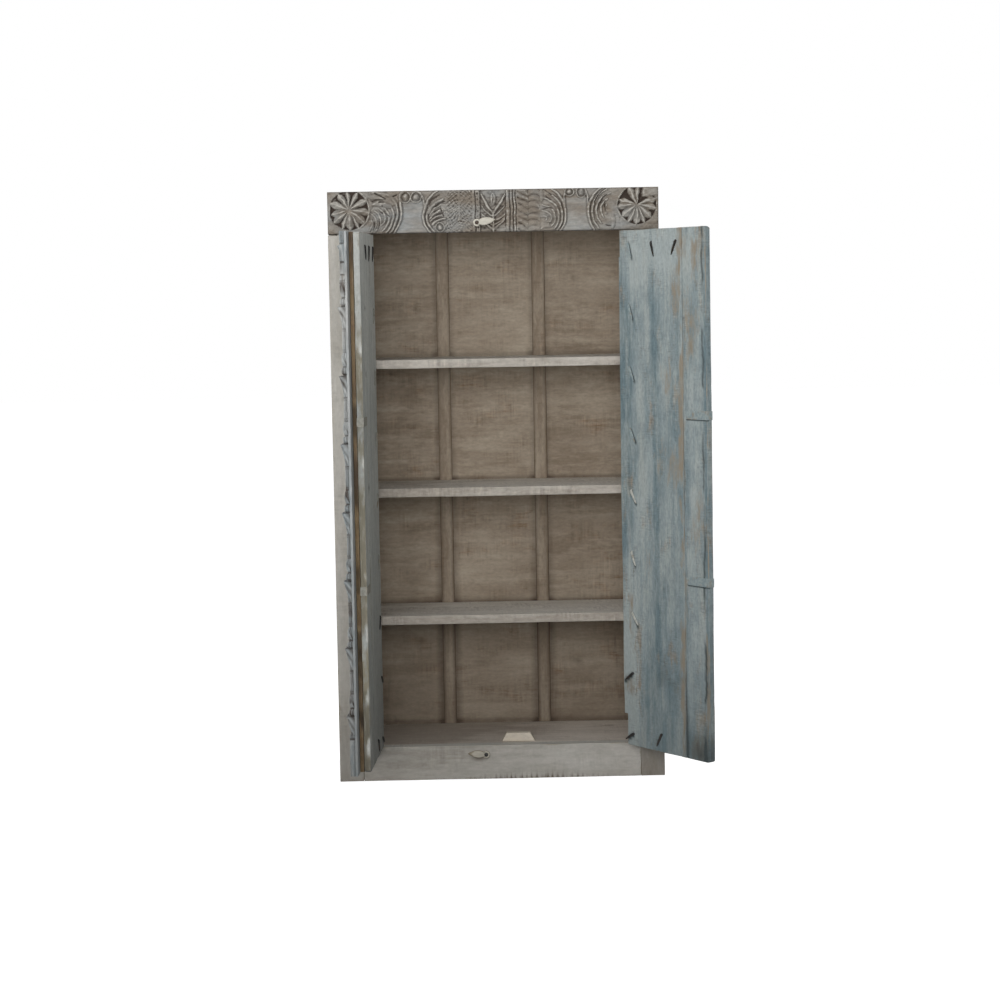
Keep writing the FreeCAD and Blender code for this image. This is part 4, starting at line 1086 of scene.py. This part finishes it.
flat_post[:, 1] = np.clip(flat_post[:, 1] + np.abs(nick), -10.9, POST_BACK_FACE)
flat_post[:, 0] = np.clip(flat_post[:, 0] + 0.5 * nick, 358.2, 467.8)
post_faces = ring_faces(len(heights), len(section), 0)
post_hollow = np.clip(np.stack(hollows, 1).reshape(-1), 0, 1)
# Dirt in patches, plus dirt and painted shade deepening towards the foot. The marks paint the cuts darker as
# shade and the ridges paler as highlights, and the tone is deeper low down
post_dirt_and_shade = 0.8 * np.clip(rough(flat_post, (22, 22, 34), 9) - 0.25, 0, 1) * (flat_post[:, 1] < 18)
post_dirt_and_shade += 0.3 * ramp(flat_post[:, 2], 1200, -1200)
post_marks = {"grain": flat_post[:, [2, 0, 1]] / 1000 + 5.1, "wear_and_highlight": np.clip(0.6 - 2 * post_hollow, 0, 1),
              "grime_and_shade": 0.62 * post_hollow + post_dirt_and_shade,
              "tone": 0.1 - 0.0003 * (flat_post[:, 2] - 800) + 0.4 * rough(flat_post, (60, 60, 110), 7)}
# Carved hardwood with blue lime paint worn to a grey film, brown in the cuts, with painted shade there, and
# pale on the ridges, with painted highlights
carved_blue_paint = painted_wood("carved_blue_paint", ("#a1a2a0", "#838a8c"), ("#92887a", "#6c6053"),
                                 "#a9abaa", "#3f352d", "#acaeac", 0.08, 0.2, broken=0.18)
solid("left_door_astragal_carved", hang("left")(flat_post), post_faces, "left_door", ["left_door_astragal"],
      carved_blue_paint, post_marks, 55)

# Clenched nails and iron straps on the doors
# Hand-forged nails: domed heads in front, and tips driven through, bent over and hammered flat behind.
# Thin iron straps wrap the free edge and were painted over with the door.


def iron_finish(name, colours, rust, rough_range, metal):
    """Iron with hammer marks, darker scale and spots of rust."""
    material = bpy.data.materials.new(name)
    tree = blank_nodes(material)
    spot = add(tree, "ShaderNodeTexCoord").outputs["Object"]
    scale = add(tree, "ShaderNodeTexNoise", {"Vector": spot, "Scale": 1000 / 9, "Detail": 5})
    spots = add(tree, "ShaderNodeTexNoise", {"Vector": spot, "Scale": 1000 / 22, "Detail": 6})
    hammer = add(tree, "ShaderNodeTexVoronoi", {"Vector": spot, "Scale": 1000 / 5})
    colour = linear(colours[0])
    for pattern, start, end, over in ((scale, 0.35, 0.65, colours[1]), (spots, 0.52, 0.68, rust)):
        share = add(tree, "ShaderNodeMapRange", {"Value": pattern, "From Min": start, "From Max": end})
        colour = add(tree, "ShaderNodeMix", {0: share, 6: colour, 7: linear(over)}, data_type="RGBA")
    dull = add(tree, "ShaderNodeMapRange", {"Value": scale, "To Min": rough_range[0],
                                            "To Max": rough_range[1]})
    bump = add(tree, "ShaderNodeBump", {"Height": hammer, "Strength": 0.4, "Distance": 0.0008})
    shader = add(tree, "ShaderNodeBsdfPrincipled", {"Base Color": colour, "Metallic": metal,
                                                    "Roughness": dull, "Normal": bump})
    add(tree, "ShaderNodeOutputMaterial", {"Surface": shader})
    return material


# Forged iron: near black, dull, with hammer facets and brown rust
forged_iron = iron_finish("forged_iron", ("#353433", "#1f1e1d"), "#3d322a", (0.5, 0.75), 0.6)
# Strap iron under door paint: blue-grey and matt, with brown spots where the paint is thin
painted_strap_iron = iron_finish("painted_strap_iron", ("#98a3a3", "#818f92"), "#8b8579", (0.6, 0.85), 0.0)
# Clenched nails brushed over with limewash: chalky, with grey iron in the hollows
limewashed_nail_iron = iron_finish("limewashed_nail_iron", ("#cfcdc4", "#a9aba5"), "#938f83", (0.7, 0.9), 0.0)
# The left door's irons under its faded paint: grey and matt
faded_strap_iron = iron_finish("faded_strap_iron", ("#94938a", "#7f7e76"), "#837b6c", (0.6, 0.85), 0.0)


def tube_rings(centres, radii, frames, sides):
    """Rings of points round a line, each with its own radius and its own two directions."""
    turns = np.arange(sides) * 2 * math.pi / sides + math.pi / sides
    rings = []
    for centre, radius, (u, v) in zip(centres, radii, frames):
        u = np.array(u)
        v = np.array(v)
        rings.append([np.array(centre) + radius[0] * math.cos(t) * u + radius[1] * math.sin(t) * v
                      for t in turns])
    return np.array(rings)


def outward(piece):
    """Turns a closed piece's faces to look outwards."""
    shell = bmesh.new()
    shell.from_mesh(piece.data)
    bmesh.ops.recalc_face_normals(shell, faces=shell.faces)
    shell.to_mesh(piece.data)
    shell.free()


RAIL_NAILS = ((163, 1631.5, 16), (281, 1631.5, -28), (188, 163.5, -32))
# A bent tip's length and lift along it with its half sizes, and a head's radius and lift
TIP_STEPS = ((-2, -1.5), (0, 0.9), (2.5, 2.3), (7, 2.6), (16, 2.2), (28, 2.0), (38, 1.6), (46, 1.3))
TIP_SIZES = ((3.4, 2.4), (3.8, 2.5), (4.6, 2.4), (4.8, 2.3), (4.4, 2.2), (3.8, 2.0), (3.0, 1.7), (1.5, 1.0))
TIP_SIDES = 6
HEAD_SIDES = 12
HEAD_STEPS = ((9.0, 0.0), (8.8, 1.0), (7.6, 2.3), (5.4, 3.3), (2.8, 3.8), (0.6, 3.95))
# The strap's outer and inner line, along the door's back and round its free edge
STRAP_RUN = (323, 324.5, 345, 370, 395, 410, 416)
strap_outer = [(a, 57.7) for a in STRAP_RUN] + [(418.3, 57.2)] + [(418.7, b) for b in (55, 47, 40, 37.2)]
strap_inner = [(a, 56.6) for a in STRAP_RUN] + [(417.6, b) for b in (56.5, 55, 47, 40, 37.2)]
painted_irons = {"left": faded_strap_iron, "right": painted_strap_iron}
for side in ("left", "right"):
    body = f"{side}_door"
    place = hang(side)
    nails = [(a, z, STILE_FRONT, slant) for a, z, slant in EDGE_NAILS]
    nails += [(a, z, RAIL_FRONT, slant) for a, z, slant in RAIL_NAILS]
    shown = {"bare": ([], []), "painted": ([], []), "limed": ([], [])}
    for a, z, front_face, slant in nails:
        bare = z > 1600 and (side == "left" or a > 100) or z < (560 if side == "left" else 400)
        points, faces = shown["bare" if bare else "painted" if z > 1000 or side == "left" else "limed"]
        lean = math.radians(slant)
        run = np.array([math.sin(lean), 0, -math.cos(lean)])
        beside = np.array([math.cos(lean), 0, math.sin(lean)])
        out = np.array([0, 1, 0])
        root = np.array([a, DOOR_BACK, z])
        centres = [root + run * length + out * min(lift, 2.0) for length, lift in TIP_STEPS]
        rings = tube_rings(centres, TIP_SIZES, [(beside, out)] * len(centres), TIP_SIDES)
        faces += ring_faces(len(centres), TIP_SIDES, len(points))
        points += rings.reshape(-1, 3).tolist()
        centres = [np.array([a, front_face - lift, z]) for _, lift in HEAD_STEPS]
        sizes = [(radius, radius * 0.94) for radius, _ in HEAD_STEPS]
        rings = tube_rings(centres, sizes, [((0, 0, 1), (1, 0, 0))] * len(centres), HEAD_SIDES)
        faces += ring_faces(len(centres), HEAD_SIDES, len(points))
        points += rings.reshape(-1, 3).tolist()
    for label, (points, faces) in shown.items():
        points = np.array(points)
        if not points.size:
            continue
        iron = {"bare": forged_iron, "painted": painted_irons[side], "limed": limewashed_nail_iron}[label]
        outward(solid(f"{body}_{label}_nails_forged", place(points), faces, body, [f"{body}_nails"],
                      iron, {"grain": points / 1000}, 50))
    for label, z in STRAP_HEIGHTS.items():
        strap_points = []
        for (a1, b1), (a0, b0) in zip(strap_outer, strap_inner):
            for up in (-13, -12.2, 12.2, 13):
                rounded = 0.5 * (abs(up) > 12.5)
                strap_points.append((a1 - rounded * (b1 < 57.5), b1 - rounded * (b1 > 57.5), z + up))
            for up in (12.6, -12.6):
                strap_points.append((a0, b0, z + up))
        strap_faces = ring_faces(len(strap_outer), 6, 0)
        if side == "right":
            strap_faces = [face[::-1] for face in strap_faces]
        strap_points = np.array(strap_points)
        outward(solid(f"{body}_{label}_strap_painted", place(strap_points), strap_faces, body,
                      [f"{body}_straps"], painted_irons[side],
                      {"grain": strap_points / 1000}, 30))

# Hinges, washers and screws
# Plain iron butt hinges, three to a door, screwed to the stile and the door's edge.
# Their arrises are slightly rounded by rolling and filing.
for name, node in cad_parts.items():
    if "hinge" in name and "stile" not in name or "latch_screw" in name or "latch_washer" in name:
        node.data.materials.clear()
        node.data.materials.append(forged_iron)
        rounding = node.modifiers.new("filed_arris", "BEVEL")
        rounding.width = 0.0003
        rounding.segments = 2
        rounding.limit_method = "ANGLE"

# Turn buttons
# Flat wooden leaves, each turning on one screw through its eye: one on the lintel and one on the rail hold
# the doors shut. They are cut by hand, bevelled, and painted cream.
PIVOT_X = -50
EYE_ROUND = 11.5
EYE_HOLE = 3.8
LEAF_START = 6
LEAF_LONG = 50

# Cream oil paint on hardwood: smooth, a little glossy, chipped to grey-brown at the rim
cream_oil_paint = painted_wood("cream_oil_paint", ("#cbc7bc", "#b6b0a2"), ("#a0937e", "#7f715b"),
                               "#d0ccc1", "#4f4639", "#978c79", 0.03, 0.1)
for label, pivot_z, back_y, tilt in (("upper", 1701, -221.3, 9), ("lower", 77, -213.3, 176)):
    turn = math.radians(tilt)
    leaf = []
    for t in np.linspace(0, 1, 25)[:-1]:
        wide = EYE_ROUND * math.sin(math.pi * (0.16 + 0.84 * t) ** 0.9) ** 0.85
        leaf.append((LEAF_START + LEAF_LONG * t, min(wide, EYE_ROUND)))
    leaf.append((LEAF_START + LEAF_LONG, 0.0))
    upper_side = [(EYE_ROUND * math.cos(q), EYE_ROUND * math.sin(q))
                  for q in np.linspace(math.pi, math.pi / 2.6, 15)]
    upper_side += [spot for spot in leaf if spot[0] > 7.5]
    rim = np.array(upper_side + [(x, -y) for x, y in reversed(upper_side[1:-1])])
    count = len(rim)
    turns = np.linspace(math.pi, -math.pi, count, endpoint=False)
    eye_ring = np.stack([EYE_HOLE * np.cos(turns), EYE_HOLE * np.sin(turns)], 1)
    layers = []
    for source, inset, depth in (
            (eye_ring, 1.0, 0.0), (rim, 0.96, 0.0), (rim, 1.0, 0.9), (rim, 1.0, 3.4), (rim, 0.9, 5.2),
            (rim, 0.72, 5.9), (eye_ring, 1.5, 5.9), (eye_ring, 1.0, 5.2)):
        spots = source * inset
        if source is rim and inset < 1:
            drawn_in = rim * (1 - inset)
            drawn_in[:, 0] *= rim[:, 0] > 40
            spots = rim - drawn_in
            near_eye = rim[:, 0] < 8
            spots[near_eye] = (rim * (0.5 + inset / 2))[near_eye]
        x = PIVOT_X + spots[:, 0] * math.cos(turn) - spots[:, 1] * math.sin(turn)
        z = pivot_z + spots[:, 0] * math.sin(turn) + spots[:, 1] * math.cos(turn)
        layers.append(np.stack([x, np.full(count, back_y - depth), z], 1))
    points = np.concatenate(layers)
    index = np.arange(len(points)).reshape(len(layers), count)
    index = np.concatenate([index, index[:1]])
    ahead = np.roll(index, -1, axis=1)
    faces = np.stack([index[:-1], ahead[:-1], ahead[1:], index[1:]], -1).reshape(-1, 4).tolist()
    ring_number = np.repeat(np.arange(len(layers)), count)
    worn_rim = np.where((ring_number == 3) | (ring_number == 4), 0.5 if label == "upper" else 0.9, 0.1)
    # Painted shade in the screw's eye, and on the lower button a painted shadow round the rim against the
    # rail
    handled_and_shaded = np.where(ring_number == 7, 0.7, 0.02)
    if label == "lower":
        handled_and_shaded = np.maximum(handled_and_shaded, 0.55 * np.isin(ring_number, (1, 2, 3)))
    marks = {"grain": points[:, [0, 2, 1]] / 1000, "wear_and_highlight": worn_rim, "grime_and_shade": handled_and_shaded,
             "tone": np.full(len(points), 0.0 if label == "upper" else 0.25)}
    solid(f"{label}_turn_button_painted", points, faces, f"{label}_latch", [f"{label}_latch"],
          cream_oil_paint, marks, 45)

# Floor, light and camera
# A plain white studio: pale floor with the bookcase's soft shadow, a broad lamp in front, and weaker ones
# from behind and from the left. The camera stands 7.6 m away, at about eye height.
FLOOR_REACH = 30
FLOOR_LEVEL = -0.0005
WHITE = linear("#ffffff")


def seen_directly(tree):
    """A node that gives 1 for what the camera sees, also in a reflection, and 0 for light on the object."""
    ray = add(tree, "ShaderNodeLightPath")
    seen = ray.outputs["Is Camera Ray"]
    for kind in ("Is Glossy Ray", "Is Transmission Ray"):
        seen = add(tree, "ShaderNodeMath", {0: seen, 1: ray.outputs[kind]}, operation="MAXIMUM")
    return seen


def place_object(name, data, columns, spot):
    """Puts a lamp or camera in the scene, with its right, up and back directions."""
    thing = bpy.data.objects.new(name, data)
    bpy.context.scene.collection.objects.link(thing)
    rows = np.stack(columns, 1).tolist()
    thing.matrix_world = Matrix([row + [at] for row, at in zip(rows, spot)] + [[0, 0, 0, 1]])
    return thing


floor_mesh = bpy.data.meshes.new("studio_floor")
corners = [(x * FLOOR_REACH, y * FLOOR_REACH, FLOOR_LEVEL) for x, y in ((-1, -1), (1, -1), (1, 1), (-1, 1))]
floor_mesh.from_pydata(corners, [], [(0, 1, 2, 3)])
floor = bpy.data.objects.new("studio_floor", floor_mesh)
bpy.context.scene.collection.objects.link(floor)
# White studio paper: it lights the object as grey paper, and shows as white with a faint shadow
white_paper = bpy.data.materials.new("white_studio_paper")
tree = blank_nodes(white_paper)
seen = seen_directly(tree)
paper = add(tree, "ShaderNodeMix", {0: seen, 6: linear("#7a7a7a"), 7: WHITE}, data_type="RGBA")
fill = add(tree, "ShaderNodeMath", {0: seen, 1: 0.72}, operation="MULTIPLY")
shader = add(tree, "ShaderNodeBsdfPrincipled", {"Base Color": paper, "Roughness": 1.0,
                                                "Specular IOR Level": 0.0, "Emission Color": WHITE,
                                                "Emission Strength": fill})
add(tree, "ShaderNodeOutputMaterial", {"Surface": shader})
floor_mesh.materials.append(white_paper)

world = bpy.data.worlds.new("white_studio")
bpy.context.scene.world = world
tree = blank_nodes(world)
level = add(tree, "ShaderNodeMapRange", {"Value": seen_directly(tree), "To Min": 0.36, "To Max": 1.0})
sky = add(tree, "ShaderNodeBackground", {"Color": WHITE, "Strength": level})
add(tree, "ShaderNodeOutputWorld", {"Surface": sky})

for name, spot, aim, size, power in (("back_softbox", (1.6, 4.2, 2.9), (0, 0, 1.1), 2.2, 16),
                                     ("front_softbox", (-0.5, -4.5, 1.85), (0, 0, 1.6), 2.2, 24),
                                     ("left_softbox", (-3.4, -3.2, 2.3), (0, 0, 1.5), 1.8, 6)):
    lamp = bpy.data.lights.new(name, "AREA")
    lamp.size = size
    lamp.energy = power
    lamp.spread = math.radians(68)
    away = np.array(spot) - np.array(aim)
    away = away / np.linalg.norm(away)
    level_side = np.cross((0, 0, 1), away)
    level_side = level_side / np.linalg.norm(level_side)
    place_object(name, lamp, [level_side, np.cross(away, level_side), away], spot)

CAMERA_SPOT = (-0.1088, -7.5937, 1.4689)
camera = bpy.data.cameras.new("eye_height_camera")
camera.sensor_width = 36
camera.lens = 87.54
yaw, pitch, roll = 0.01551, 0.08229, 0.01724
forward = np.array([math.sin(yaw) * math.cos(pitch), math.cos(yaw) * math.cos(pitch), -math.sin(pitch)])
level_right = np.array([math.cos(yaw), -math.sin(yaw), 0])
level_up = np.cross(level_right, forward)
right = level_right * math.cos(roll) - level_up * math.sin(roll)
up = level_right * math.sin(roll) + level_up * math.cos(roll)
bpy.context.scene.camera = place_object("eye_height_camera", camera, [right, up, -forward], CAMERA_SPOT)
bpy.context.scene.view_settings.view_transform = "Standard"
